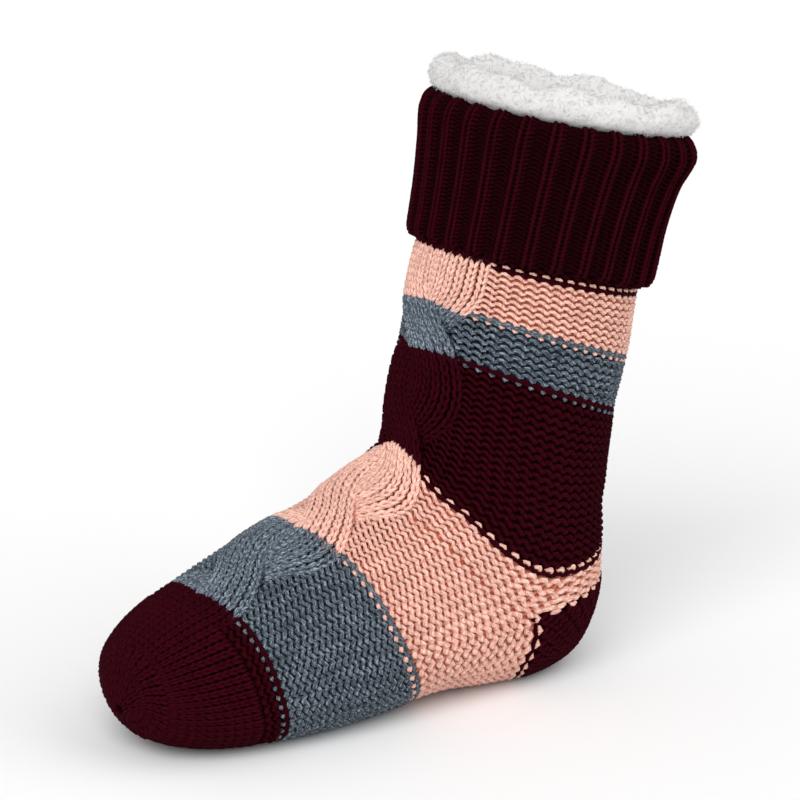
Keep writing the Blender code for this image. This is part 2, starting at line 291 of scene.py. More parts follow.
class SockView(bpy.types.PropertyGroup):
    """Where the photograph was taken from."""

    swing: bpy.props.FloatProperty(
        name="Swing", description="Turn from a plain side view towards the toe",
        subtype="ANGLE", default=math.radians(34.0))
    height: bpy.props.FloatProperty(
        name="Height", description="Angle above the floor",
        subtype="ANGLE", default=math.radians(16.5))
    roll: bpy.props.FloatProperty(
        name="Roll", description="Turn of the picture", subtype="ANGLE", default=0.0)
    distance: bpy.props.FloatProperty(
        name="Distance", description="From the sock to the lens", unit="LENGTH", default=1.9)
    share: bpy.props.FloatProperty(
        name="Share Of Frame", description="Part of the frame's height that the sock fills",
        default=0.87)


def running_stations():
    """Distance of each section from the toe, along the foot and leg."""
    front = np.hypot(np.diff(TABLE[:, 0]), np.diff(TABLE[:, 1]))
    back = np.hypot(np.diff(TABLE[:, 2]), np.diff(TABLE[:, 3]))
    return np.concatenate(([0.0], np.cumsum(0.5 * (front + back))))


STATIONS = running_stations()
COLLAR = STATIONS[-1]
LAST = len(SECTIONS) - 1


def table_slopes():
    """Rate of change of each column of the table at each section."""
    low = np.maximum(np.arange(LAST + 1) - 1, 0)
    high = np.minimum(np.arange(LAST + 1) + 1, LAST)
    return (TABLE[high] - TABLE[low]) / (STATIONS[high] - STATIONS[low])[:, None]


SLOPES = table_slopes()


def wrapped(angle):
    """The same angle within half a turn to either side of the front."""
    return np.arctan2(np.sin(angle), np.cos(angle))


def from_front(angle):
    """Angle from the front, the same on both sides."""
    return np.abs(wrapped(angle))


def eased(share):
    """A share from none to one, with a soft start and end."""
    share = np.clip(share, 0.0, 1.0)
    return share * share * (3.0 - 2.0 * share)


def unit(vectors):
    """Directions of vectors, at unit length."""
    return vectors / np.maximum(np.linalg.norm(vectors, axis=-1, keepdims=True), 1e-9)


def station_of(name):
    """Distance along the sock of the section with this name."""
    return STATIONS[NAMES.index(name)]


def last_columns(station):
    """Every column of the table at distances along the sock, smooth between sections."""
    station = np.asarray(station, float)
    inside = np.clip(station, 0.0, COLLAR)
    index = np.clip(np.searchsorted(STATIONS, inside, side="right") - 1, 0, LAST - 1)
    span = (STATIONS[index + 1] - STATIONS[index])[..., None]
    t = (inside - STATIONS[index])[..., None] / span
    value = (TABLE[index] * (2 * t ** 3 - 3 * t ** 2 + 1)
             + SLOPES[index] * span * (t ** 3 - 2 * t ** 2 + t)
             + TABLE[index + 1] * (-2 * t ** 3 + 3 * t ** 2)
             + SLOPES[index + 1] * span * (t ** 3 - t ** 2))
    value = value + SLOPES[LAST] * np.maximum(station - COLLAR, 0.0)[..., None]
    close = np.clip(-station / NOSE_LENGTH, 0.0, 1.0)[..., None]
    bulge = 2.4 * np.sin(close * math.pi * 0.5)
    nose = np.concatenate((bulge, -18.0 * close, bulge, 2.0 * close, -15.0 * close,
                           0.0 * close), axis=-1)
    return value + nose


def last_point(station, angle, offset):
    """Points on the last, moved out by offset in the plane of their sections."""
    value = last_columns(station)
    front_x, front_z, back_x, back_z, half_width, power = np.moveaxis(value, -1, 0)
    reach_x = 0.5 * (front_x - back_x)
    reach_z = 0.5 * (front_z - back_z)
    reach = np.hypot(reach_x, reach_z)
    c = np.cos(angle)
    s = np.sin(angle)
    radius = (np.abs(c) ** power + np.abs(s) ** power) ** (-1.0 / power)
    out_c = np.sign(c) * np.abs(c) ** (power - 1.0) / reach
    out_s = np.sign(s) * np.abs(s) ** (power - 1.0) / half_width
    size = np.hypot(out_c, out_s)
    move_c = c * radius + offset * out_c / size / reach
    x = 0.5 * (front_x + back_x) + reach_x * move_c
    z = 0.5 * (front_z + back_z) + reach_z * move_c
    y = s * radius * half_width + offset * out_s / size
    return np.stack(np.broadcast_arrays(x, y, z), axis=-1)


# Lengths along the sock at each angle, so that rows are evenly spaced where they lie

ANGLES = np.linspace(0.0, math.pi, 181)
SAMPLES = np.linspace(-NOSE_LENGTH, COLLAR + 6.0, 900)
KEY = 5000.0                  # sets the samples of each angle apart in one sorted list


def arc_lengths():
    """Length along the sock at each angle, for each sampled station."""
    points = last_point(SAMPLES[None, :], ANGLES[:, None], 0.0)
    steps = np.linalg.norm(np.diff(points, axis=1), axis=2)
    return np.concatenate((np.zeros((len(ANGLES), 1)), np.cumsum(steps, axis=1)), axis=1)


ARCS = arc_lengths()
KEYS = np.arange(len(ANGLES))[:, None] * KEY
STATION_KEYS = (SAMPLES[None, :] + KEYS).ravel()
ARC_KEYS = (ARCS + KEYS).ravel()
FLAT_ARCS = ARCS.ravel()
FLAT_SAMPLES = np.tile(SAMPLES, len(ANGLES))


def front_arc(station):
    """Length along the front, at a station."""
    return np.interp(station, SAMPLES, ARCS[0])


def smoothed(values, reach=7):
    """Values over half a round, rounded off and the same on both sides."""
    mirrored = np.concatenate((values[3 * reach:0:-1], values, values[-2:-3 * reach - 2:-1]))
    weight = np.exp(-(np.arange(-3 * reach, 3 * reach + 1) / reach) ** 2)
    return np.convolve(mirrored, weight / weight.sum(), "valid")


def height_edge(rows):
    """Stations of an edge that is given by its height at some angles."""
    trial = np.linspace(station_of("instep"), station_of("shin"), 400)
    heights = last_point(trial[None, :], ANGLES[:, None], 0.0)[..., 2]
    heights = np.maximum.accumulate(heights, axis=1) + trial[None, :] * 1e-6
    wanted = np.interp(np.degrees(ANGLES), [row.degrees for row in rows],
                       [row.height for row in rows])
    wanted = smoothed(wanted)
    return np.array([np.interp(wanted[i], heights[i], trial) for i in range(len(ANGLES))])


def edge_gap(low, high):
    """Length along the surface between two edges, for each angle."""
    return np.array([np.interp(high[i], SAMPLES, ARCS[i]) - np.interp(low[i], SAMPLES, ARCS[i])
                     for i in range(len(ANGLES))])


def row_station(share, angle, low, high):
    """Station at a share of the way between two edges, measured along the surface."""
    turn = from_front(angle)
    place = turn / (ANGLES[1] - ANGLES[0])
    index = np.clip(place.astype(int), 0, len(ANGLES) - 2)
    blend = place - index
    start = np.interp(turn, ANGLES, low)
    end = np.interp(turn, ANGLES, high)
    station = 0.0
    for step, weight in ((index, 1.0 - blend), (index + 1, blend)):
        key = step * KEY
        first = np.interp(start + key, STATION_KEYS, FLAT_ARCS)
        second = np.interp(end + key, STATION_KEYS, FLAT_ARCS)
        arc = np.maximum(first + share * (second - first), 0.0)
        station = station + weight * np.interp(arc + key, ARC_KEYS, FLAT_SAMPLES)
    return station


def make_edges():
    """Every edge between bands, as a station for each angle."""
    def level(station, front=0.0, back=0.0):
        """An edge across the sock, shifted at the front and the back."""
        lean = 0.5 + 0.5 * np.cos(ANGLES)
        return station + front * lean + back * (1.0 - lean)

    degrees = np.degrees(ANGLES)
    front = station_of("instep")
    front += HEEL_CORNER_SHARE * (station_of("heel_sole") - front)
    drop = eased((degrees - HEEL_CORNER_DEGREES) / HEEL_FRONT_DEGREES)
    front = front + HEEL_FRONT_SLANT * (1.0 - drop)
    edges = {
        "nose": level(-NOSE_LENGTH),
        "nose_ring": level(0.0),
        "toe_edge": level(station_of("toe_band") - 10.4, -10.0, 5.0),
        "toe": level(station_of("toe_band"), -10.0, 5.0),
        "waist": level(station_of("waist"), -6.0, 15.0),
        "ankle": height_edge(ANKLE_EDGE),
        "shin": level(station_of("shin") - 5.0),
        "calf": level(station_of("calf") - 6.0),
        "cuff": level(station_of("cuff_line") - 8.5),
        "hidden": level(station_of("cuff_line") + 8.0),
    }
    share = PINK_ROWS_BEFORE_HEEL / (PINK_ROWS_BEFORE_HEEL + PINK_ROWS_AFTER_HEEL)
    even = row_station(np.full(len(ANGLES), share), ANGLES, edges["waist"], edges["ankle"])
    miss = np.interp(HEEL_CORNER_DEGREES, degrees, front - even)
    part = eased((degrees - HEEL_SPLIT_DEGREES) / (HEEL_CORNER_DEGREES - HEEL_SPLIT_DEGREES))
    split = even + miss * part
    behind = degrees >= HEEL_CORNER_DEGREES
    edges["heel_front"] = np.where(behind, front, split)
    edges["heel_top"] = np.where(behind, np.maximum(height_edge(HEEL_TOP_EDGE), front), split)
    return edges


EDGES = make_edges()


def crossing_places():
    """Length along the front of each cable crossing."""
    places = []
    for crossing in CROSSINGS:
        index = NAMES.index(crossing.section)
        step = STATIONS[index + 1] - STATIONS[index]
        places.append(front_arc(STATIONS[index] + crossing.share * step))
    return np.array(places)


CROSS_ARCS = crossing_places()


def strand_phase(arc):
    """Half turns of the cable, counted from its first crossing, level past its ends."""
    gaps = np.diff(CROSS_ARCS)
    phase = np.interp(arc, CROSS_ARCS, np.arange(len(CROSS_ARCS)))
    before = np.clip((arc - CROSS_ARCS[0]) / gaps[0], -0.5, 0.0)
    after = np.clip((arc - CROSS_ARCS[-1]) / gaps[-1], 0.0, 0.5)
    return phase + before + after


def strand_offset(arc, strand):
    """Middle of one strand, in stitches from the centre line."""
    side = 1.0 if strand == 0 else -1.0
    return -side * STRAND_SWING * np.sin(strand_phase(arc) * math.pi)


def crossing_nearness(arc, reach):
    """One near a crossing, falling to none: a column for each crossing."""
    gap = (np.asarray(arc)[..., None] - CROSS_ARCS) / reach
    return np.exp(-gap ** 2)


def strand_lift(arc, strand):
    """Above zero where a strand passes over the other, below where it goes under."""
    signs = np.array([1.0 if index % 2 == strand else -1.0 for index in range(len(CROSS_ARCS))])
    return (crossing_nearness(arc, 11.0) * signs).sum(axis=-1)


def strand_width(arc, strand):
    """Width of a stitch in a strand: spread where it goes over, drawn together under."""
    lift = strand_lift(arc, strand)
    return 0.93 + 0.12 * np.maximum(lift, 0.0) - 0.16 * np.maximum(-lift, 0.0)


def crease_depth(station, angle):
    """Depth of the soft troughs, with ridges below zero."""
    depth = 0.0
    for crease in CREASES:
        turn = angle - math.radians(crease.degrees)
        across = wrapped(turn) * CREASE_RADIUS
        along = station - station_of(crease.section) - crease.beyond + crease.slant * across
        depth = depth + crease.depth * np.exp(-(across / crease.length) ** 2
                                              - (along / crease.spread) ** 2)
    return depth


def skin_offset(station, angle):
    """Height of the plain fabric over the last: drawn in at the crossings and creases."""
    across = from_front(angle) * LEG_RADIUS
    near = crossing_nearness(front_arc(station), 9.0).sum(axis=-1)
    pinch = CROSS_PINCH * near * np.cos(np.clip(across / CROSS_FLANK, 0.0, 1.0) * math.pi * 0.5)
    return -pinch - crease_depth(station, angle)


def skin(station, angle):
    """Points of the plain fabric's outer face, pressed flat where it rests."""
    points = last_point(station, angle, skin_offset(station, angle))
    over = points[..., 2] - FLOOR_PRESS
    points[..., 2] = FLOOR_PRESS + 0.5 * (over + np.sqrt(over ** 2 + 1.0))
    return points


def with_normals(surface, first, second, first_step=0.4, second_step=0.01):
    """Points of a surface and its outward directions."""
    along = surface(first + first_step, second) - surface(first - first_step, second)
    around = surface(first, second + second_step) - surface(first, second - second_step)
    return surface(first, second), unit(np.cross(around, along))


class YarnMesh:
    """Collects tubes of yarn, row by row, and turns them into one mesh."""

    def __init__(self, sides):
        self.sides = sides
        self.points = []
        self.faces = []
        self.maps = []
        self.tones = []
        self.dive_shades = []
        self.count = 0

    def add_rows(self, centres, normals, radius, closed, tone, dive_shade):
        """Tubes along rows of points, each row a yarn. Sizes are in millimetres.

        Tone varies from stitch to stitch, with painted light and shade from some callers. The last
        argument is one where the yarn dives inward, and sets the painted shade there.
        """
        if closed:
            tangent = np.roll(centres, -1, axis=1) - np.roll(centres, 1, axis=1)
        else:
            tangent = np.gradient(centres, axis=1)
        tangent = unit(tangent)
        side = unit(np.cross(tangent, normals))
        top = np.cross(side, tangent)
        turn = np.arange(self.sides) * FULL_TURN / self.sides
        ring = (side[:, :, None, :] * np.cos(turn)[:, None]
                + top[:, :, None, :] * np.sin(turn)[:, None])
        points = centres[:, :, None, :] + ring * radius[:, :, None, None]
        points[..., 2] = np.maximum(points[..., 2], 0.0)
        rows, length = centres.shape[:2]
        reach = np.linalg.norm(np.diff(centres, axis=1), axis=2)
        run = np.concatenate((np.zeros((rows, 1)), np.cumsum(reach, axis=1)), axis=1)
        if closed:
            end = np.linalg.norm(centres[:, :1] - centres[:, -1:], axis=2)
            run = np.concatenate((run, run[:, -1:] + end), axis=1)
        spans = length if closed else length - 1
        row, step, edge = np.meshgrid(np.arange(rows), np.arange(spans), np.arange(self.sides),
                                      indexing="ij")
        after = (step + 1) % length
        over = (edge + 1) % self.sides

        def number(place, corner):
            """Index of a point in the joined mesh."""
            return self.count + (row * length + place) * self.sides + corner

        quad = np.stack((number(step, edge), number(after, edge),
                         number(after, over), number(step, over)), axis=-1)
        start = run[row, step]
        finish = run[row, step + 1]
        low = edge / self.sides
        high = (edge + 1) / self.sides
        flat = np.stack((np.stack((start, low), -1), np.stack((finish, low), -1),
                         np.stack((finish, high), -1), np.stack((start, high), -1)), axis=-2)
        self.points.append(points.reshape(-1, 3))
        self.faces.append(quad.reshape(-1, 4))
        self.maps.append(flat.reshape(-1, 2))
        self.tones.append(np.repeat(tone.reshape(-1), self.sides))
        # Painted shade on the inward-facing underside of each tube, on top of that where loops dive
        under = 0.5 - 0.5 * np.sin(turn)
        self.dive_shades.append((dive_shade[..., None] + 0.35 * under).reshape(-1))
        self.count += rows * length * self.sides

    def build(self, name, material):
        """One joined mesh object of all the yarns."""
        return add_mesh(name, np.concatenate(self.points) * MM, np.concatenate(self.faces),
                        material, np.concatenate(self.maps) * (0.1, 1.0),
                        {"tone": np.concatenate(self.tones),
                         "dive_shade": np.concatenate(self.dive_shades)})


def add_mesh(name, points, quads, material, flat=None, values=None):
    """A smooth mesh object from arrays of points and quads."""
    mesh = bpy.data.meshes.new(name)
    mesh.vertices.add(len(points))
    mesh.vertices.foreach_set("co", np.asarray(points, np.float32).ravel())
    mesh.loops.add(quads.size)
    mesh.loops.foreach_set("vertex_index", np.asarray(quads, np.int32).ravel())
    mesh.polygons.add(len(quads))
    mesh.polygons.foreach_set("loop_start", np.arange(0, quads.size, 4, dtype=np.int32))
    if flat is not None:
        layer = mesh.uv_layers.new(name="yarn")
        layer.data.foreach_set("uv", np.asarray(flat, np.float32).ravel())
    for label, numbers in (values or {}).items():
        layer = mesh.attributes.new(label, "FLOAT", "POINT")
        layer.data.foreach_set("value", np.asarray(numbers, np.float32))
    mesh.update(calc_edges=True)
    mesh.validate()
    mesh.shade_smooth()
    mesh.materials.append(material)
    piece = bpy.data.objects.new(name, mesh)
    bpy.context.scene.collection.objects.link(piece)
    return piece


def settle(piece, node):
    """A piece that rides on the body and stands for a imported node."""
    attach(piece, "root")
    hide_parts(node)


def loop_steps(count, closed):
    """Turn of the yarn along a row of stitches: a whole turn for each stitch."""
    total = count * LOOP_POINTS + (0 if closed else 1)
    return np.arange(total) * FULL_TURN / LOOP_POINTS


def stitch_noise(seed, rows, count, total):
    """One random value for each stitch of each row, spread to its points."""
    random = np.random.default_rng(seed)
    value = random.uniform(-1.0, 1.0, (rows, count + 1))
    index = np.minimum(np.arange(total) // LOOP_POINTS, count)
    return value[:, index]


def knit_loop(turn, sizes, close=0.0):
    """Sideways, upward and outward course of a knit stitch, its legs drawn together by a share."""
    side = turn / (FULL_TURN) + 0.20 * np.sin(2.0 * turn) + close * np.sin(turn)
    rise = -sizes.knit_height * np.cos(turn)
    out = -np.cos(2.0 * turn) - 4.0 * close * np.cos(turn)
    return side, rise, out


def purl_loop(turn, sizes, dive=PLAIN_DIVE):
    """Sideways, upward and outward course of a purl stitch."""
    side = turn / (FULL_TURN) + 0.08 * np.sin(2.0 * turn) - 0.04 * np.sin(turn)
    c = np.cos(turn)
    rise = -sizes.purl_height * np.sign(c) * np.abs(c) ** 0.7
    rise = rise - sizes.purl_slant * np.sin(2.0 * turn)
    out = 1.0 - 2.7 * (1.0 - c * c) ** dive - 0.12 * np.maximum(c, 0.0) ** 2
    return side, rise, np.maximum(out, -1.7)


def place_rows(mesh, sizes, station, angle, lift, out, closed, tone, width=1.0):
    """Adds rows of yarn whose loops bow out over a lift from the fabric's mean depth."""
    points, normals = with_normals(skin, station, angle)
    radius = sizes.yarn_radius / MM
    height = np.maximum(lift + sizes.loop_depth / MM * out - radius - 0.1, DEEPEST)
    centres = points + normals * height[..., None]
    widths = np.broadcast_to(radius * (1.0 + 0.05 * tone) * width, centres.shape[:2])
    mesh.add_rows(centres, normals, widths, closed, tone, dive_shade_of(out, centres.shape[:2]))


def dive_shade_of(out, shape):
    """How far a loop has dived into the fabric, from none to one, as painted shade."""
    return np.broadcast_to(np.clip(0.5 - 0.5 * out, 0.0, 1.0), shape)


def row_width(angle, low, high, rows):
    """Yarn width by the room between rows, against the usual room."""
    length = np.interp(from_front(angle), ANGLES, edge_gap(low, high))
    return np.clip(length / rows / ROW_ROOM, 0.74, 1.28)


def stitch_width(station, angle, count):
    """Yarn width by the room between stitches, against the usual room."""
    step = 0.02
    around = skin(station, angle + step) - skin(station, angle - step)
    room = np.linalg.norm(around, axis=-1) / (2.0 * step) * FULL_TURN / count
    return np.clip(room / STITCH_ROOM, 0.62, 1.0)


PANEL_FOOT = front_arc(EDGES["toe"][0]) - 4.0
PANEL_TOP = front_arc(EDGES["cuff"][0]) + 4.0


def tuck(distance, reach):
    """One at the end of a row, falling to none."""
    return np.exp(-(distance / reach) ** 2)


def strand_shape(arc, strand, side_stitches, sizes):
    """Angle and height of a strand's stitches, given their distance from its middle."""
    pitch = FULL_TURN / sizes.stitches
    angle = (strand_offset(arc, strand) + side_stitches * strand_width(arc, strand)) * pitch
    lobe = np.cos(np.clip(np.abs(side_stitches) / STRAND_HALF, 0.0, 1.0) * math.pi * 0.5)
    lift = sizes.strand_rise / MM * lobe + sizes.cross_lift / MM * strand_lift(arc, strand)
    fade = (np.clip((PANEL_TOP - arc) / PANEL_FADE, 0.0, 1.0)
            * np.clip((arc - PANEL_FOOT) / PANEL_FADE, 0.0, 1.0))
    return angle, lift * fade


def panel_rows(mesh, low, high, rows, sizes, seed, panel_light):
    """Knit rows of the cable's two strands, between two edges."""
    first = front_arc(low[0])
    length = front_arc(high[0]) - first
    half = sizes.strand_stitches * 0.5
    turn = loop_steps(sizes.strand_stitches, False)
    side, rise, out = knit_loop(turn, sizes, PANEL_CLOSE)
    across = np.clip(side - half, -half, half)[None, :]
    for strand in (0, 1):
        wobble = stitch_noise(seed + strand, rows, sizes.strand_stitches, len(turn))
        row = np.arange(rows)[:, None] + 0.5 + rise[None, :] + 0.04 * wobble
        arc = first + row / rows * length
        lean = (strand_offset(arc + 1.0, strand) - strand_offset(arc - 1.0, strand)) * 0.5
        arc = arc - ROW_TILT * lean * STITCH_ROOM ** 2 * across
        angle, lift = strand_shape(arc, strand, across, sizes)
        station = row_station((arc - first) / length, angle, low, high)
        edge = tuck(half - np.abs(across), 0.45)
        # Painted light on the smooth panel: its tone is raised, and the yarn width divided back to
        # match
        place_rows(mesh, sizes, station, angle, lift - 0.7 * edge, 1.2 * out[None, :], False,
                   wobble + panel_light, 0.88 / (1.0 + 0.05 * panel_light))


def panel_edge(arc, side, sizes):
    """Angle of the panel's edge on one side, a little under its outer stitch."""
    pitch = FULL_TURN / sizes.stitches
    half = sizes.strand_stitches * 0.5
    places = [side * strand_offset(arc, strand) + half * strand_width(arc, strand)
              for strand in (0, 1)]
    return (np.maximum(places[0], places[1]) - 0.30) * pitch


def even_shift(station, angle):
    """Turn that keeps stitches evenly wide where a section is longer than it is broad."""
    value = last_columns(station)
    length = np.hypot(value[..., 0] - value[..., 2], value[..., 1] - value[..., 3]) * 0.5
    long_share = (length ** 2 - value[..., 4] ** 2) / (length ** 2 + value[..., 4] ** 2)
    return 0.25 * long_share * np.sin(2.0 * angle)


def purl_rows(mesh, low, high, rows, sizes, seed, reaches, lowest=-1.0, edge_rows=(0, -1)):
    """Purl rows round the sides and back, between two edges, none below a lowest row.

    In the edge rows the yarn dives faster, so that their loops show as dashes.
    """
    count = sizes.stitches - 2 * sizes.strand_stitches + HIDDEN_STITCHES
    half = count * 0.5
    first = front_arc(low[0])
    length = front_arc(high[0]) - first
    turn = loop_steps(count, False)
    side, rise, out = purl_loop(turn, sizes)
    place = np.clip(side, 0.0, count)[None, :]
    wobble = stitch_noise(seed, rows, count, len(turn))
    reach = np.repeat(rise[None, :], rows, axis=0)
    reach[0] = np.where(rise < 0.0, reaches[0], 1.0) * reach[0]
    reach[-1] = np.where(rise > 0.0, reaches[1], 1.0) * reach[-1]
    row = np.arange(rows)[:, None] + 0.5 + reach + 0.04 * wobble
    arc = first + row / rows * length
    inward = np.minimum(place, count - place)
    pull = CROSS_ARCS - arc[..., None]
    pull = (0.08 * pull * np.exp(-(pull / 9.0) ** 2)).sum(axis=-1) * np.exp(-inward / 2.6)
    arc = arc + pull
    row = np.maximum(row + pull / length * rows, lowest)
    pitch = FULL_TURN / sizes.stitches
    narrow = float(panel_edge(CROSS_ARCS, 1.0, sizes).min())
    even = narrow + (math.pi - narrow) * inward / half
    side = np.where(place <= half, 1.0, -1.0)
    under = np.clip((panel_edge(arc, side, sizes) - even) / (0.7 * pitch), 0.0, 1.0)
    angle = np.where(place <= half, even, FULL_TURN - even)
    station = row_station(row / rows, angle, low, high)
    angle = angle + even_shift(station, angle) * (1.0 - np.exp(-inward / 4.0))
    station = row_station(row / rows, angle, low, high)
    end = tuck(place, 0.5) + tuck(count - place, 0.5)
    depth = np.repeat(out[None, :], rows, axis=0)
    width = np.array(row_width(angle, low, high, rows))
    for edge_row in edge_rows:
        depth[edge_row] = purl_loop(turn, sizes, EDGE_DIVE)[2]
        width[edge_row] *= EDGE_WIDTH
    place_rows(mesh, sizes, station, angle, -1.3 * end - 0.2 - 2.4 * under, depth, False, wobble,
               width)


def ring_row(mesh, low, high, rows, row, count, sizes, seed):
    """One knit round of a given number of stitches, between two edges."""
    turn = loop_steps(count, True)
    side, rise, out = knit_loop(turn, sizes, POCKET_CLOSE)
    wobble = stitch_noise(seed, 1, count, len(turn))
    angle = (side[None, :] - 0.5) * FULL_TURN / count
    share = (row + 0.5 + rise[None, :] + 0.05 * wobble) / rows
    station = row_station(share, angle, low, high)
    # Painted light and shade: the tone is lighter where a loop bows out and darker where it dives
    place_rows(mesh, sizes, station, angle, np.zeros_like(station), out[None, :], True,
               wobble + POCKET_PAINTED_LIGHT * (out + 0.4), stitch_width(station, angle, count))


def heel_rows(mesh, sizes, seed):
    """Short rows of the heel pocket: each row stops at the mitre and has a twin above."""
    pitch = FULL_TURN / sizes.stitches
    lengths = edge_gap(EDGES["heel_front"], EDGES["heel_top"])
    lengths = np.maximum.accumulate(lengths) + ANGLES * 1e-6
    pairs = int(round(lengths[-1] / ROW_ROOM * 0.5))
    room = lengths[-1] / pairs * 0.5
    for pair in range(pairs):
        reach = (math.pi - np.interp((pair + 0.5) * 2.0 * room, lengths, ANGLES)) / pitch
        count = max(2 * int(round(reach)), 2)
        turn = loop_steps(count, False)
        side, rise, out = knit_loop(turn, sizes, POCKET_CLOSE)
        place = np.clip(side - count * 0.5, -0.5 * count, 0.5 * count)[None, :]
        angle = math.pi + place * 2.0 * reach / count * pitch
        length = np.interp(from_front(angle), ANGLES, lengths)
        length = np.maximum(length, (pair + 0.5) * 2.0 * room)
        end = tuck(count * 0.5 - np.abs(place), 0.5)
        for upper in (False, True):
            wobble = stitch_noise(seed + 2 * pair + upper, 1, count, len(turn))
            rise_here = rise[None, :] + 0.05 * wobble
            share = (pair + 1.3 + rise_here) * room / length
            if upper:
                share = 1.0 - (pair + 0.75 - rise_here) * room / length
            station = row_station(share, angle, EDGES["heel_front"], EDGES["heel_top"])
            # Painted light and shade: the tone is lighter where a loop bows out and darker where it
            # dives
            place_rows(mesh, sizes, station, angle, -0.9 * end, out[None, :], False,
                       wobble + POCKET_PAINTED_LIGHT * (out - 0.2))


def edge_thread(mesh, edge, shift, start, sizes, seed):
    """A yarn laid along an edge, from a start angle round the back to the same on the far side."""
    count = int((1.0 - start / math.pi) * sizes.stitches)
    turn = loop_steps(count, False)
    wobble = stitch_noise(seed, 1, count, len(turn))
    angle = (start + 2.0 * (math.pi - start) * turn / turn[-1])[None, :]
    station = np.interp(from_front(angle), ANGLES, edge) + shift - 0.4 * np.cos(turn)[None, :]
    end = tuck(angle - start, 0.06) + tuck(FULL_TURN - start - angle, 0.06)
    place_rows(mesh, sizes, station, angle, -1.2 * end, np.full((1, len(turn)), 0.35), False,
               wobble, 0.9)


def smooth_path(rows, count):
    """A path of table rows, rounded through its points and evenly sampled."""
    knots = np.array([tuple(row) for row in rows], float)
    padded = np.concatenate((2 * knots[:1] - knots[1:2], knots, 2 * knots[-1:] - knots[-2:-1]))
    t = np.linspace(0.0, 1.0, 16, endpoint=False)[:, None]
    pieces = []
    for index in range(len(knots) - 1):
        a, b, c, d = padded[index:index + 4]
        pieces.append(0.5 * (2 * b + (c - a) * t + (2 * a - 5 * b + 4 * c - d) * t ** 2
                             + (3 * b - a - 3 * c + d) * t ** 3))
    fine = np.concatenate(pieces + [knots[-1:]])
    steps = np.linalg.norm(np.diff(fine[:, :2], axis=0), axis=1)
    run = np.concatenate(([0.0], np.cumsum(steps)))
    even = np.linspace(0.0, run[-1], count)
    return np.stack([np.interp(even, run, fine[:, k]) for k in range(fine.shape[1])], axis=1)


CUFF_CURVE = smooth_path(CUFF_PATH, 400)


def cuff_skin(share, angle):
    """Points of the cuff's mean face, at a share of the way along its path."""
    place = np.clip(share, 0.0, 1.0) * (len(CUFF_CURVE) - 1)
    grid = np.arange(len(CUFF_CURVE))
    rise, offset, slouch = [np.interp(place, grid, CUFF_CURVE[:, k]) for k in range(3)]
    back = (0.5 - 0.5 * np.cos(angle)) ** 2
    wave = 0.7 * np.sin(5.0 * angle + 0.6) * np.clip(-rise / 50.0, 0.0, 1.0)
    return last_point(COLLAR + rise + wave, angle, offset + slouch * back)


def rib_place(side):
    """Squeezes knit stitches into narrow ribs and widens the purl grooves between them."""
    pair = np.floor(side / 2.0)
    local = side - 2.0 * pair
    purl = RIB_WIDTH + (local - 1.0) * (2.0 - RIB_WIDTH)
    return 2.0 * pair + np.where(local < 1.0, local * RIB_WIDTH, purl)


def cuff_rows(mesh, sizes, seed):
    """One by one rib, row by row from the cuff's edge over the fold."""
    count = sizes.stitches
    rows = sizes.cuff_rows
    turn = loop_steps(count, True)
    is_knit = (np.floor(turn / (FULL_TURN) + 1e-6) % 2) == 0
    knit = knit_loop(turn, sizes)
    purl = purl_loop(turn, sizes)
    side = np.where(is_knit, turn / (FULL_TURN) + 0.6 * (knit[0] - turn / (FULL_TURN)),
                    purl[0])
    rise = np.where(is_knit, knit[1], purl[1] * 1.05)
    wobble = stitch_noise(seed, rows, count, len(turn))
    placed = rib_place(side) - RIB_MIDDLE
    angle = np.broadcast_to(placed * FULL_TURN / count, (rows, len(turn)))
    ridge = np.cos(placed * math.pi)
    ridge = np.sign(ridge) * np.abs(ridge) ** 0.8
    out = np.where(is_knit, knit[2], 0.42 * purl[2])
    share = (np.arange(rows)[:, None] + 0.5 + rise[None, :] + 0.05 * wobble) / rows
    points, normals = with_normals(cuff_skin, np.clip(share, 0.004, 0.996), angle, 0.003, 0.01)
    radius = sizes.yarn_radius / MM * 0.84
    fold = 1.0 - 0.65 * np.clip((share - 0.80) / 0.10, 0.0, 1.0)
    lift = sizes.rib_depth / MM * 0.5 * ridge * fold + 0.7 * sizes.loop_depth / MM * out
    centres = points + normals * lift[..., None]
    widths = np.broadcast_to(radius * (1.0 + 0.05 * wobble), centres.shape[:2])
    # Painted light and shade: the tone is lighter on the ribs and darker in the grooves between
    # them
    mesh.add_rows(centres, normals, widths, True, wobble + RIB_PAINTED_LIGHT * ridge,
                  dive_shade_of(out, centres.shape[:2]))


def grid_quads(rows, columns):
    """Quads of a grid that closes around its columns."""
    row, column = np.meshgrid(np.arange(rows - 1), np.arange(columns), indexing="ij")
    after = (column + 1) % columns
    quad = np.stack((row * columns + column, row * columns + after,
                     (row + 1) * columns + after, (row + 1) * columns + column), axis=-1)
    return quad.reshape(-1, 4)


def ring_grid(rows, columns):
    """The value of each row, and even angles around, as two grids."""
    turn = np.linspace(0.0, FULL_TURN, columns, endpoint=False)
    return np.broadcast_arrays(rows[:, None], turn[None, :])


def add_sheet(name, points, material, inward=False):
    """A mesh object from a grid of points in millimetres that closes around."""
    quads = grid_quads(*points.shape[:2])
    return add_mesh(name, points.reshape(-1, 3) * MM, quads[:, ::-1] if inward else quads,
                    material)


def new_material(name):
    """A material with its shader, ready for nodes."""
    material = bpy.data.materials.new(name)
    material.use_nodes = True
    return material, material.node_tree, material.node_tree.nodes["Principled BSDF"]


def set_inputs(node, values):
    """Sets values on a node's own sockets."""
    for label, value in values.items():
        node.inputs[label].default_value = value


def add_bump(tree, shader, height, strength, distance):
    """A bump from a height to the shader's normal."""
    bump = tree.nodes.new("ShaderNodeBump")
    set_inputs(bump, {"Strength": strength, "Distance": distance})
    tree.links.new(height, bump.inputs["Height"])
    tree.links.new(bump.outputs[0], shader.inputs["Normal"])


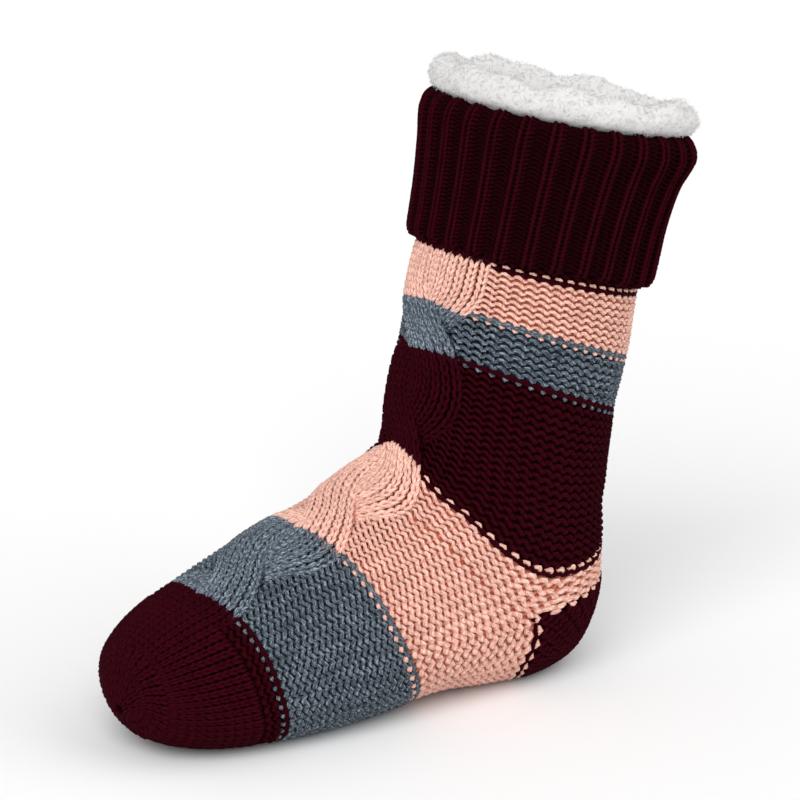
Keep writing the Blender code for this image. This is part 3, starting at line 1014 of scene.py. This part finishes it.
def make_group(name, inputs, outputs):
    """An empty shader node group with named sockets."""
    group = bpy.data.node_groups.new(name, "ShaderNodeTree")
    for label, kind, default in inputs:
        socket = group.interface.new_socket(label, in_out="INPUT", socket_type=kind)
        socket.default_value = default
    for label, kind in outputs:
        group.interface.new_socket(label, in_out="OUTPUT", socket_type=kind)
    source = group.nodes.new("NodeGroupInput")
    target = group.nodes.new("NodeGroupOutput")
    return group, source, target


def math_node(tree, operation, first, second=0.0):
    """A math node between two sockets or numbers."""
    node = tree.nodes.new("ShaderNodeMath")
    node.operation = operation
    for index, value in enumerate((first, second)):
        if isinstance(value, (int, float)):
            node.inputs[index].default_value = value
        else:
            tree.links.new(value, node.inputs[index])
    return node.outputs[0]


def mix_node(tree, factor, first, second, blend="MIX"):
    """A colour mix between two sockets or colours."""
    node = tree.nodes.new("ShaderNodeMix")
    node.data_type = "RGBA"
    node.blend_type = blend
    for socket, value in ((node.inputs[0], factor), (node.inputs[6], first),
                          (node.inputs[7], second)):
        if isinstance(value, (int, float, tuple)):
            socket.default_value = value
        else:
            tree.links.new(value, socket)
    return node.outputs[2]


def yarn_twist_group():
    """Plies that wind round the yarn, loose fibres over them, painted shade between plies."""
    group = bpy.data.node_groups.get("Yarn Twist")
    if group:
        return group
    group, source, target = make_group(
        "Yarn Twist",
        (("Plies", "NodeSocketFloat", 3.0), ("Turns", "NodeSocketFloat", 3.2),
         ("Fuzz", "NodeSocketFloat", 0.5)),
        (("Height", "NodeSocketFloat"), ("Groove", "NodeSocketFloat"),
         ("Fibre", "NodeSocketFloat")))
    uv = group.nodes.new("ShaderNodeUVMap")
    uv.uv_map = "yarn"
    split = group.nodes.new("ShaderNodeSeparateXYZ")
    group.links.new(uv.outputs[0], split.inputs[0])
    along = math_node(group, "MULTIPLY", split.outputs[0], source.outputs["Turns"])
    around = math_node(group, "MULTIPLY", split.outputs[1], source.outputs["Plies"])
    phase = math_node(group, "MULTIPLY", math_node(group, "ADD", along, around), math.pi)
    ridge = math_node(group, "ABSOLUTE", math_node(group, "SINE", phase))
    stretch = group.nodes.new("ShaderNodeCombineXYZ")
    group.links.new(math_node(group, "MULTIPLY", split.outputs[0], 4.0), stretch.inputs[0])
    group.links.new(math_node(group, "MULTIPLY", split.outputs[1], 5.0), stretch.inputs[1])
    place = group.nodes.new("ShaderNodeTexCoord")
    shift = group.nodes.new("ShaderNodeVectorMath")
    shift.operation = "SCALE"
    set_inputs(shift, {"Scale": 60.0})
    group.links.new(place.outputs["Object"], shift.inputs[0])
    total = group.nodes.new("ShaderNodeVectorMath")
    group.links.new(stretch.outputs[0], total.inputs[0])
    group.links.new(shift.outputs[0], total.inputs[1])
    fibre = group.nodes.new("ShaderNodeTexNoise")
    set_inputs(fibre, {"Scale": 1.6, "Detail": 3.0, "Roughness": 0.7})
    group.links.new(total.outputs[0], fibre.inputs["Vector"])
    loose = math_node(group, "MULTIPLY", fibre.outputs["Fac"], source.outputs["Fuzz"])
    group.links.new(math_node(group, "ADD", ridge, loose), target.inputs["Height"])
    # Groove: mask of the painted shade between the plies
    group.links.new(math_node(group, "SUBTRACT", 1.0, ridge), target.inputs["Groove"])
    group.links.new(fibre.outputs["Fac"], target.inputs["Fibre"])
    return group


def heather_group():
    """Fibres of two tones carded into a middle one."""
    group = bpy.data.node_groups.get("Heather")
    if group:
        return group
    group, source, target = make_group(
        "Heather",
        (("Fibre", "NodeSocketFloat", 0.5), ("Dark", "NodeSocketColor", (0.0, 0.0, 0.0, 1.0)),
         ("Middle", "NodeSocketColor", (0.2, 0.2, 0.2, 1.0)),
         ("Light", "NodeSocketColor", (0.5, 0.5, 0.5, 1.0))),
        (("Color", "NodeSocketColor"),))
    dark = group.nodes.new("ShaderNodeMapRange")
    set_inputs(dark, {"From Min": 0.38, "From Max": 0.47})
    light = group.nodes.new("ShaderNodeMapRange")
    set_inputs(light, {"From Min": 0.52, "From Max": 0.60})
    group.links.new(source.outputs["Fibre"], dark.inputs["Value"])
    group.links.new(source.outputs["Fibre"], light.inputs["Value"])
    low = mix_node(group, dark.outputs[0], source.outputs["Dark"], source.outputs["Middle"])
    group.links.new(mix_node(group, light.outputs[0], low, source.outputs["Light"]),
                    target.inputs["Color"])
    return group


def fibre_noise_group():
    """Fine uneven fibres of a cloth or pile, as a value that changes over its surface."""
    group = bpy.data.node_groups.get("Fibre Noise")
    if group:
        return group
    inputs = (("Scale", "NodeSocketFloat", 5.0), ("Detail", "NodeSocketFloat", 2.0),
              ("Roughness", "NodeSocketFloat", 0.5), ("Distortion", "NodeSocketFloat", 0.0))
    group, source, target = make_group("Fibre Noise", inputs, (("Fibre", "NodeSocketFloat"),))
    fibre = group.nodes.new("ShaderNodeTexNoise")
    for label, _, _ in inputs:
        group.links.new(source.outputs[label], fibre.inputs[label])
    group.links.new(fibre.outputs["Fac"], target.inputs["Fibre"])
    return group


def place_group(tree, group, values):
    """A node group in a material, with its own values."""
    node = tree.nodes.new("ShaderNodeGroup")
    node.node_tree = group
    for label, value in values.items():
        if isinstance(value, (int, float, tuple)):
            node.inputs[label].default_value = value
        else:
            tree.links.new(value, node.inputs[label])
    return node


def rgba(colour):
    """A colour property as a shader value."""
    return (colour[0], colour[1], colour[2], 1.0)


def shaded(colour, factor):
    """A colour made lighter or darker."""
    return tuple(min(channel * factor, 1.0) for channel in colour[:3]) + (1.0,)


def dark_fibre_and_shade_tone(colour, factor):
    """A darker, fuller tone of a colour: dark fibres, and painted shade between the plies."""
    top = max(colour[:3])
    return tuple(channel * factor * (channel / top) ** 0.3 for channel in colour[:3]) + (1.0,)


def painted_shade_tone(colour, factor):
    """Painted shade: the full, dark tone of a yarn's colour between its loops and beneath them."""
    top = max(colour[:3])
    return tuple(factor * channel * (channel / top) ** 1.8 for channel in colour[:3]) + (1.0,)


def yarn_material(name, dark, middle, light, painted_shade_colour):
    """Soft acrylic yarn: twisted plies, carded fibres, dull sheen, painted shade and light."""
    found = bpy.data.materials.get(name)
    if found:
        return found
    material, tree, shader = new_material(name)
    twist = place_group(tree, yarn_twist_group(), {"Plies": 3.0, "Turns": 3.2, "Fuzz": 0.6})
    heather = place_group(tree, heather_group(), {
        "Fibre": twist.outputs["Fibre"], "Dark": dark, "Middle": middle, "Light": light})
    # Painted shade in the grooves between the plies, in the yarn's dark colour
    groove = math_node(tree, "MULTIPLY", twist.outputs["Groove"], 0.35)
    base_with_painted_shade = mix_node(tree, groove, heather.outputs["Color"], dark)
    # Painted shade where the loops dive and on the yarn's underside
    dive_shade = tree.nodes.new("ShaderNodeAttribute")
    dive_shade.attribute_name = "dive_shade"
    painted_shade_amount = math_node(tree, "MULTIPLY", math_node(tree, "POWER", dive_shade.outputs["Fac"], 1.4), 0.80)
    base_with_painted_shade = mix_node(tree, painted_shade_amount, base_with_painted_shade, painted_shade_colour)
    # The tone: random from stitch to stitch, plus painted light and shade on pocket loops, ribs and
    # the panel
    tone = tree.nodes.new("ShaderNodeAttribute")
    tone.attribute_name = "tone"
    step = math_node(tree, "ADD", math_node(tree, "MULTIPLY", tone.outputs["Fac"], 0.05), 1.0)
    grey = tree.nodes.new("ShaderNodeCombineColor")
    for index in range(3):
        tree.links.new(step, grey.inputs[index])
    tree.links.new(mix_node(tree, 1.0, base_with_painted_shade, grey.outputs[0], "MULTIPLY"),
                   shader.inputs["Base Color"])
    add_bump(tree, shader, twist.outputs["Height"], 0.55, 0.0005)
    set_inputs(shader, {"Roughness": 0.92, "Specular IOR Level": 0.03, "Sheen Weight": 0.02,
                        "Sheen Roughness": 0.5, "Sheen Tint": light})
    return material


def yarn(colours, name):
    """The material of one of the yarns."""
    # The last colour of each yarn is its painted shade where loops dive and on the yarn's
    # underside; the cuff's rib yarn has the darkest
    if name == "grey":
        return yarn_material("grey_melange_yarn", rgba(colours.grey_dark), rgba(colours.grey),
                             rgba(colours.grey_light), painted_shade_tone(colours.grey, 0.20))
    base = colours.pink if name == "pink" else colours.burgundy
    if name == "burgundy_rib":
        base = shaded(base, 0.80)[:3]
    painted_shade_colour = painted_shade_tone(base, {"pink": 0.72, "burgundy": 0.42, "burgundy_rib": 0.22}[name])
    return yarn_material(name + "_yarn", dark_fibre_and_shade_tone(base, 0.72), rgba(base), shaded(base, 1.25),
                         painted_shade_colour)


def backing_shade_material(name, colour):
    """The inside of the fabric seen between loops, painted dark as the shade there."""
    found = bpy.data.materials.get(name)
    if found:
        return found
    material, tree, shader = new_material(name)
    speck = place_group(tree, fibre_noise_group(), {"Scale": 900.0, "Detail": 2.0})
    # Painted shade in specks of two darknesses, less dark for the paler yarns
    pale = 0.3 * max(colour)
    tree.links.new(mix_node(tree, speck.outputs["Fibre"], painted_shade_tone(colour, 0.25 + pale),
                            painted_shade_tone(colour, 0.45 + pale)), shader.inputs["Base Color"])
    set_inputs(shader, {"Roughness": 0.95, "Specular IOR Level": 0.04})
    return material


def fleece_material(name, colour, depth=0.4):
    """Curly off-white pile with soft shadows between its lumps, into which light sinks."""
    found = bpy.data.materials.get(name)
    if found:
        return found
    material, tree, shader = new_material(name)
    curl = place_group(tree, fibre_noise_group(), {
        "Scale": 620.0, "Detail": 4.0, "Roughness": 0.65, "Distortion": 1.4})
    # Faint painted shade and light: the noise that bumps the pile also darkens its dips and
    # lightens its tops
    tree.links.new(mix_node(tree, curl.outputs["Fibre"], shaded(colour, 0.98),
                            shaded(colour, 1.05)), shader.inputs["Base Color"])
    add_bump(tree, shader, curl.outputs["Fibre"], 0.4, 0.0012)
    set_inputs(shader, {"Roughness": 0.95, "Specular IOR Level": 0.2,
                        "Subsurface Weight": depth, "Subsurface Radius": (1.0, 1.0, 1.0),
                        "Subsurface Scale": 0.003, "Sheen Weight": 0.3, "Sheen Roughness": 0.6})
    return material


class SOCK_OT_backing(bpy.types.Operator):
    """Smooth inner face of the fabric, under the loops"""

    bl_idname = "sock.backing"
    bl_label = "Fabric Backing"

    def execute(self, context):
        colours = context.scene.sock_colours
        bands = (("backing_toe", "nose", "toe", 14, colours.burgundy),
                 ("backing_foot_grey", "toe", "waist", 12, colours.grey),
                 ("backing_foot_pink", "waist", "heel_front", 18, colours.pink),
                 ("backing_heel", "heel_front", "heel_top", 16, colours.burgundy),
                 ("backing_ankle", "heel_top", "ankle", 8, colours.pink),
                 ("backing_leg_burgundy", "ankle", "shin", 16, colours.burgundy),
                 ("backing_leg_grey", "shin", "calf", 6, colours.grey),
                 ("backing_leg_pink", "calf", "cuff", 8, colours.pink),
                 ("backing_leg_top", "cuff", "hidden", 5, colours.burgundy))
        for name, low, high, rows, colour in bands:
            share, angle = ring_grid(np.linspace(0.0, 1.0, rows), BACKING_COLUMNS)
            station = row_station(share, angle, EDGES[low], EDGES[high])
            points, normals = with_normals(skin, station, angle)
            near = crossing_nearness(front_arc(station), 14.0).sum(axis=-1)
            panel = np.clip((0.80 - from_front(angle)) / 0.15, 0.0, 1.0)
            depth = BACKING_DEPTH + (0.6 + 1.2 * near) * panel
            points = points - normals * depth[..., None]
            points[..., 2] = np.maximum(points[..., 2], 0.8)
            # Painted shade: each sheet is a dark, full tone of its band's yarn
            settle(add_sheet(name, points, backing_shade_material(name + "_cloth", colour)),
                   "knit_sock")
        return {"FINISHED"}


class SOCK_OT_toe(bpy.types.Operator):
    """Knit rounds of the toe pocket, drawn in towards its tip"""

    bl_idname = "sock.toe"
    bl_label = "Toe Pocket"

    def execute(self, context):
        sizes = context.scene.sock_sizes
        mesh = YarnMesh(5)
        for row in range(TOE_ROUNDS):
            count = sizes.stitches // (2 if row < TOE_HALVED_ROUNDS else 1)
            ring_row(mesh, EDGES["nose_ring"], EDGES["toe_edge"], TOE_ROUNDS, row, count, sizes,
                     SEEDS["toe"] + row)
        for row, count in enumerate(TIP_STITCHES):
            ring_row(mesh, EDGES["nose"], EDGES["nose_ring"], len(TIP_STITCHES), row, count, sizes,
                     SEEDS["tip"] + row)
        settle(mesh.build("knit_toe", yarn(context.scene.sock_colours, "burgundy")), "knit_sock")
        return {"FINISHED"}


class SOCK_OT_stripes(bpy.types.Operator):
    """Striped foot and leg: purl ground with a cable of two strands down the front"""

    bl_idname = "sock.stripes"
    bl_label = "Striped Foot And Leg"

    def execute(self, context):
        sizes = context.scene.sock_sizes
        colours = context.scene.sock_colours
        for number, band in enumerate(BANDS):
            low = EDGES[band.low]
            high = EDGES[band.high]
            seed = SEEDS["bands"] + 10 * number
            mesh = YarnMesh(5)
            purl_rows(mesh, low, high, band.purl_rows, sizes, seed,
                      (band.foot_reach, band.head_reach))
            panel_rows(mesh, low, high, band.panel_rows, sizes, seed + 5,
                       PANEL_PAINTED_LIGHT.get(band.yarn, 0.0))
            for edge, reach, shift in ((low, band.foot_reach, -0.9),
                                       (high, band.head_reach, 0.9)):
                if reach < 1.0:
                    side = panel_edge(front_arc(edge[0]), 1.0, sizes)
                    edge_thread(mesh, edge, shift, float(side), sizes, seed + 8)
            settle(mesh.build("knit_" + band.piece, yarn(colours, band.yarn)), "knit_sock")
        mesh = YarnMesh(5)
        purl_rows(mesh, EDGES["waist"], EDGES["heel_front"], PINK_ROWS_BEFORE_HEEL, sizes,
                  SEEDS["before_heel"], (1.08, 1.15))
        purl_rows(mesh, EDGES["heel_top"], EDGES["ankle"], PINK_ROWS_AFTER_HEEL, sizes,
                  SEEDS["after_heel"], (0.72, 1.08), lowest=-0.2, edge_rows=(-1,))
        panel_rows(mesh, EDGES["waist"], EDGES["ankle"], PINK_PANEL_ROWS, sizes,
                   SEEDS["pink_panel"], PANEL_PAINTED_LIGHT["pink"])
        settle(mesh.build("knit_foot_pink", yarn(colours, "pink")), "knit_sock")
        return {"FINISHED"}


class SOCK_OT_heel(bpy.types.Operator):
    """Short-row heel pocket"""

    bl_idname = "sock.heel"
    bl_label = "Heel Pocket"

    def execute(self, context):
        mesh = YarnMesh(5)
        heel_rows(mesh, context.scene.sock_sizes, SEEDS["heel"])
        edge_thread(mesh, EDGES["heel_front"], -0.3, math.radians(HEEL_CORNER_DEGREES),
                    context.scene.sock_sizes, SEEDS["heel_edge"])
        settle(mesh.build("knit_heel", yarn(context.scene.sock_colours, "burgundy")), "knit_sock")
        return {"FINISHED"}


class SOCK_OT_cuff(bpy.types.Operator):
    """Ribbed cuff, turned down over the leg"""

    bl_idname = "sock.cuff"
    bl_label = "Turned-Down Cuff"

    def execute(self, context):
        sizes = context.scene.sock_sizes
        colours = context.scene.sock_colours
        mesh = YarnMesh(4)
        cuff_rows(mesh, sizes, SEEDS["cuff"])
        settle(mesh.build("knit_cuff", yarn(colours, "burgundy_rib")), "rib_cuff")
        share, angle = ring_grid(np.linspace(0.01, 0.99, 40), BACKING_COLUMNS)
        points, normals = with_normals(cuff_skin, share, angle, 0.003, 0.01)
        # Painted shade: a dark sheet under the ribs, in a dark, full tone of the burgundy
        settle(add_sheet("backing_cuff", points - normals * CUFF_BACKING_DEPTH,
                         backing_shade_material("backing_cuff_cloth", colours.burgundy)), "rib_cuff")
        return {"FINISHED"}


def pile_height(point, scale, seed):
    """Lumpy height of curly pile at a point, from none to one."""
    place = Vector((point[0] * scale + seed, point[1] * scale - seed, point[2] * scale))
    near = noise.voronoi(place)[0][0]
    fine = noise.voronoi(place * 2.3)[0][0]
    return max(1.0 - 1.1 * near, 0.0) * 0.70 + max(1.0 - 1.2 * fine, 0.0) * 0.60


class SOCK_OT_fleece(bpy.types.Operator):
    """Curly fleece that rolls up over the fold of the cuff"""

    bl_idname = "sock.fleece"
    bl_label = "Fleece Collar"

    def execute(self, context):
        sizes = context.scene.sock_sizes
        colour = context.scene.sock_colours.fleece
        rows, columns = FLEECE_GRID
        path = smooth_path(FLEECE_PATH, rows)
        grid = np.linspace(0.0, 1.0, rows)

        def roll(share, angle):
            """The smooth roll, with a wavy crest that flops outward at the back."""
            rise = np.interp(share, grid, path[:, 0])
            offset = np.interp(share, grid, path[:, 1])
            free = np.interp(share, grid, path[:, 2]) * np.clip((rise - 4.0) / 12.0, 0.0, 1.0)
            wave = 1.2 * np.sin(7.0 * angle + 0.4) + 0.9 * np.sin(13.0 * angle + 1.9)
            flop = (0.5 - 0.5 * np.cos(angle)) ** 3
            return last_point(COLLAR + rise + free * (wave - 3.0 * flop), angle,
                              offset + 3.2 * free * flop)

        def pile(share, angle):
            """The roll with its lumps, and its outward directions."""
            points, normals = with_normals(roll, share, angle, 0.004, 0.01)
            lump = np.interp(share, grid, path[:, 2])
            height = np.array([pile_height(point, 0.16, 3.7) for point in points.reshape(-1, 3)])
            height = (height.reshape(lump.shape) - 0.35) * lump * sizes.pile_lump / MM
            return points + normals * height[..., None], normals

        points, _ = pile(*ring_grid(grid, columns))
        settle(add_sheet("fleece_roll", points, fleece_material("fleece_pile", colour)),
               "fleece_collar")
        shown = grid[path[:, 2] > 0.4]
        crest = grid[np.argmax(path[:, 0])] + 0.08
        settle(self.hairs(sizes, colour, pile, shown[0], crest), "fleece_collar")
        return {"FINISHED"}

    def hairs(self, sizes, colour, pile, low, high):
        """Short fine hairs all over the roll, which fray its outline."""
        random = np.random.default_rng(SEEDS["hairs"])
        count = sizes.hairs
        points, normals = pile(random.uniform(low, high, count),
                               random.uniform(0.0, FULL_TURN, count))
        along = unit(np.cross(normals, random.normal(size=(count, 3))))
        across = np.cross(normals, along)
        step = np.linspace(0.0, 1.0, 5)[None, :, None]
        length = random.uniform(0.9, 2.6, count)[:, None, None]
        lean = random.uniform(0.4, 1.3, count)[:, None, None]
        hook = random.uniform(-0.5, 0.5, count)[:, None, None]
        centres = (points[:, None] + normals[:, None] * (length * (step - 0.45 * step ** 2) - 0.2)
                   + along[:, None] * length * lean * step
                   + across[:, None] * hook * np.sin(step * math.pi))
        up = np.broadcast_to(normals[:, None], centres.shape)
        width = np.broadcast_to(0.13 - 0.07 * step[..., 0], centres.shape[:2])
        tone = np.zeros(centres.shape[:2])
        mesh = YarnMesh(3)
        mesh.add_rows(centres, up, width, False, tone, tone)
        # Painted light: the hairs take a lighter copy of the pile's colour, which offsets the shade
        # on them
        return mesh.build("fleece_hairs", fleece_material("fleece_hair", shaded(colour, 1.15), 1.0))


class SOCK_OT_lining(bpy.types.Operator):
    """Fleece lining inside the foot and leg"""

    bl_idname = "sock.lining"
    bl_label = "Fleece Lining"

    def execute(self, context):
        station, angle = ring_grid(np.linspace(2.0, COLLAR - 30.0, LINING_ROWS), BACKING_COLUMNS)
        points, normals = with_normals(skin, station, angle)
        height = np.array([pile_height(point, 0.11, 9.1) for point in points.reshape(-1, 3)])
        depth = LINING_DEPTH + LINING_PILE * height.reshape(station.shape)
        points = points - normals * depth[..., None]
        points[..., 2] = np.maximum(points[..., 2], 1.4)
        pile = fleece_material("fleece_pile", context.scene.sock_colours.fleece)
        piece = add_sheet("fleece_lining", points, pile, inward=True)
        settle(piece, "knit_sock")
        return {"FINISHED"}


def aim(thing, target, roll=0.0):
    """Turns a camera or a lamp to look at a point."""
    look = (Vector(target) - thing.location).normalized()
    thing.rotation_euler = look.to_track_quat("-Z", "Y").to_euler()
    if roll:
        thing.rotation_euler.rotate_axis("Z", roll)


class SOCK_OT_stage(bpy.types.Operator):
    """Pale floor, soft lamps and the camera"""

    bl_idname = "sock.stage"
    bl_label = "Stage And Camera"

    def execute(self, context):
        scene = context.scene
        view = scene.sock_view
        self.floor(scene)
        self.lamps(scene)
        self.camera(scene, view)
        return {"FINISHED"}

    def floor(self, scene):
        """A wide plain floor."""
        mesh = bpy.data.meshes.new("floor")
        corners = [(x * FLOOR_REACH, y * FLOOR_REACH, 0.0)
                   for x, y in ((-1, -1), (1, -1), (1, 1), (-1, 1))]
        mesh.from_pydata(corners, [], [(0, 1, 2, 3)])
        material, tree, shader = new_material("studio_floor")
        cloud = place_group(tree, fibre_noise_group(), {"Scale": 2.0})
        colour = scene.sock_colours.floor
        tree.links.new(mix_node(tree, cloud.outputs["Fibre"], shaded(colour, 0.995), rgba(colour)),
                       shader.inputs["Base Color"])
        set_inputs(shader, {"Roughness": 0.9})
        mesh.materials.append(material)
        floor = bpy.data.objects.new("floor", mesh)
        scene.collection.objects.link(floor)

    def lamps(self, scene):
        """A white surround, a broad soft lamp over the toe and a weak one behind."""
        world = bpy.data.worlds.new("studio")
        world.use_nodes = True
        set_inputs(world.node_tree.nodes["Background"],
                   {"Color": (1.0, 1.0, 1.0, 1.0), "Strength": 0.56})
        scene.world = world
        for name, place, power, spread in (("key", (1.0, 0.95, 1.12), 2.3, 50.0),
                                           ("fill", (-1.0, 0.9, 1.10), 0.8, 60.0)):
            lamp = bpy.data.lights.new(name, "SUN")
            lamp.energy = power
            lamp.angle = math.radians(spread)
            thing = bpy.data.objects.new(name, lamp)
            thing.location = place
            scene.collection.objects.link(thing)
            aim(thing, (0.05, 0.0, 0.12))
        scene.view_settings.view_transform = "Standard"

    def camera(self, scene, view):
        """Looks from the photograph's side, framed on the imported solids."""
        lens = bpy.data.cameras.new("camera")
        lens.sensor_width = SENSOR_WIDTH
        camera = bpy.data.objects.new("camera", lens)
        scene.collection.objects.link(camera)
        scene.camera = camera
        points = np.concatenate([
            np.array([vertex.co[:] for vertex in node.data.vertices])
            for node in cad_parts.values()])
        toward = Vector((math.sin(view.swing) * math.cos(view.height),
                         math.cos(view.swing) * math.cos(view.height), math.sin(view.height)))
        target = Vector((CAD_LOW + CAD_HIGH) * 0.5)
        for _ in range(6):
            camera.location = target + toward * view.distance
            aim(camera, target, view.roll)
            turn = np.array(camera.rotation_euler.to_matrix())
            local = (points - np.array(camera.location)) @ turn
            flat = local[:, :2] / -local[:, 2:3]
            middle = 0.5 * (flat.min(axis=0) + flat.max(axis=0))
            target = target + Vector(turn @ np.array((middle[0], middle[1], 0.0))) * view.distance
        span = flat.max(axis=0) - flat.min(axis=0)
        lens.lens = SENSOR_WIDTH * view.share / span[1]


class SOCK_PT_panel(bpy.types.Panel):
    """Lists the pieces of the sock with their sizes and colours"""

    bl_idname = "SOCK_PT_panel"
    bl_label = "House Sock"
    bl_space_type = "VIEW_3D"
    bl_region_type = "UI"
    bl_category = "House Sock"

    def draw(self, context):
        layout = self.layout
        for operator in OPERATORS:
            layout.operator(operator.bl_idname)
        for group in (context.scene.sock_sizes, context.scene.sock_colours,
                      context.scene.sock_view):
            box = layout.box()
            for name in group.__annotations__:
                box.prop(group, name)


OPERATORS = (SOCK_OT_backing, SOCK_OT_toe, SOCK_OT_stripes, SOCK_OT_heel, SOCK_OT_cuff,
             SOCK_OT_fleece, SOCK_OT_lining, SOCK_OT_stage)
CLASSES = (SockSizes, SockColours, SockView) + OPERATORS + (SOCK_PT_panel,)


def register():
    """Makes the operators, the panel and their values known."""
    for item in CLASSES:
        bpy.utils.register_class(item)
    bpy.types.Scene.sock_sizes = bpy.props.PointerProperty(type=SockSizes)
    bpy.types.Scene.sock_colours = bpy.props.PointerProperty(type=SockColours)
    bpy.types.Scene.sock_view = bpy.props.PointerProperty(type=SockView)


def unregister():
    """Takes them away again."""
    del bpy.types.Scene.sock_view
    del bpy.types.Scene.sock_colours
    del bpy.types.Scene.sock_sizes
    for item in reversed(CLASSES):
        bpy.utils.unregister_class(item)


def main():
    """Makes every piece in order."""
    register()
    bpy.ops.sock.backing()
    bpy.ops.sock.toe()
    bpy.ops.sock.stripes()
    bpy.ops.sock.heel()
    bpy.ops.sock.cuff()
    bpy.ops.sock.fleece()
    bpy.ops.sock.lining()
    bpy.ops.sock.stage()
    bpy.context.view_layer.update()


if __name__ == "__main__":
    main()
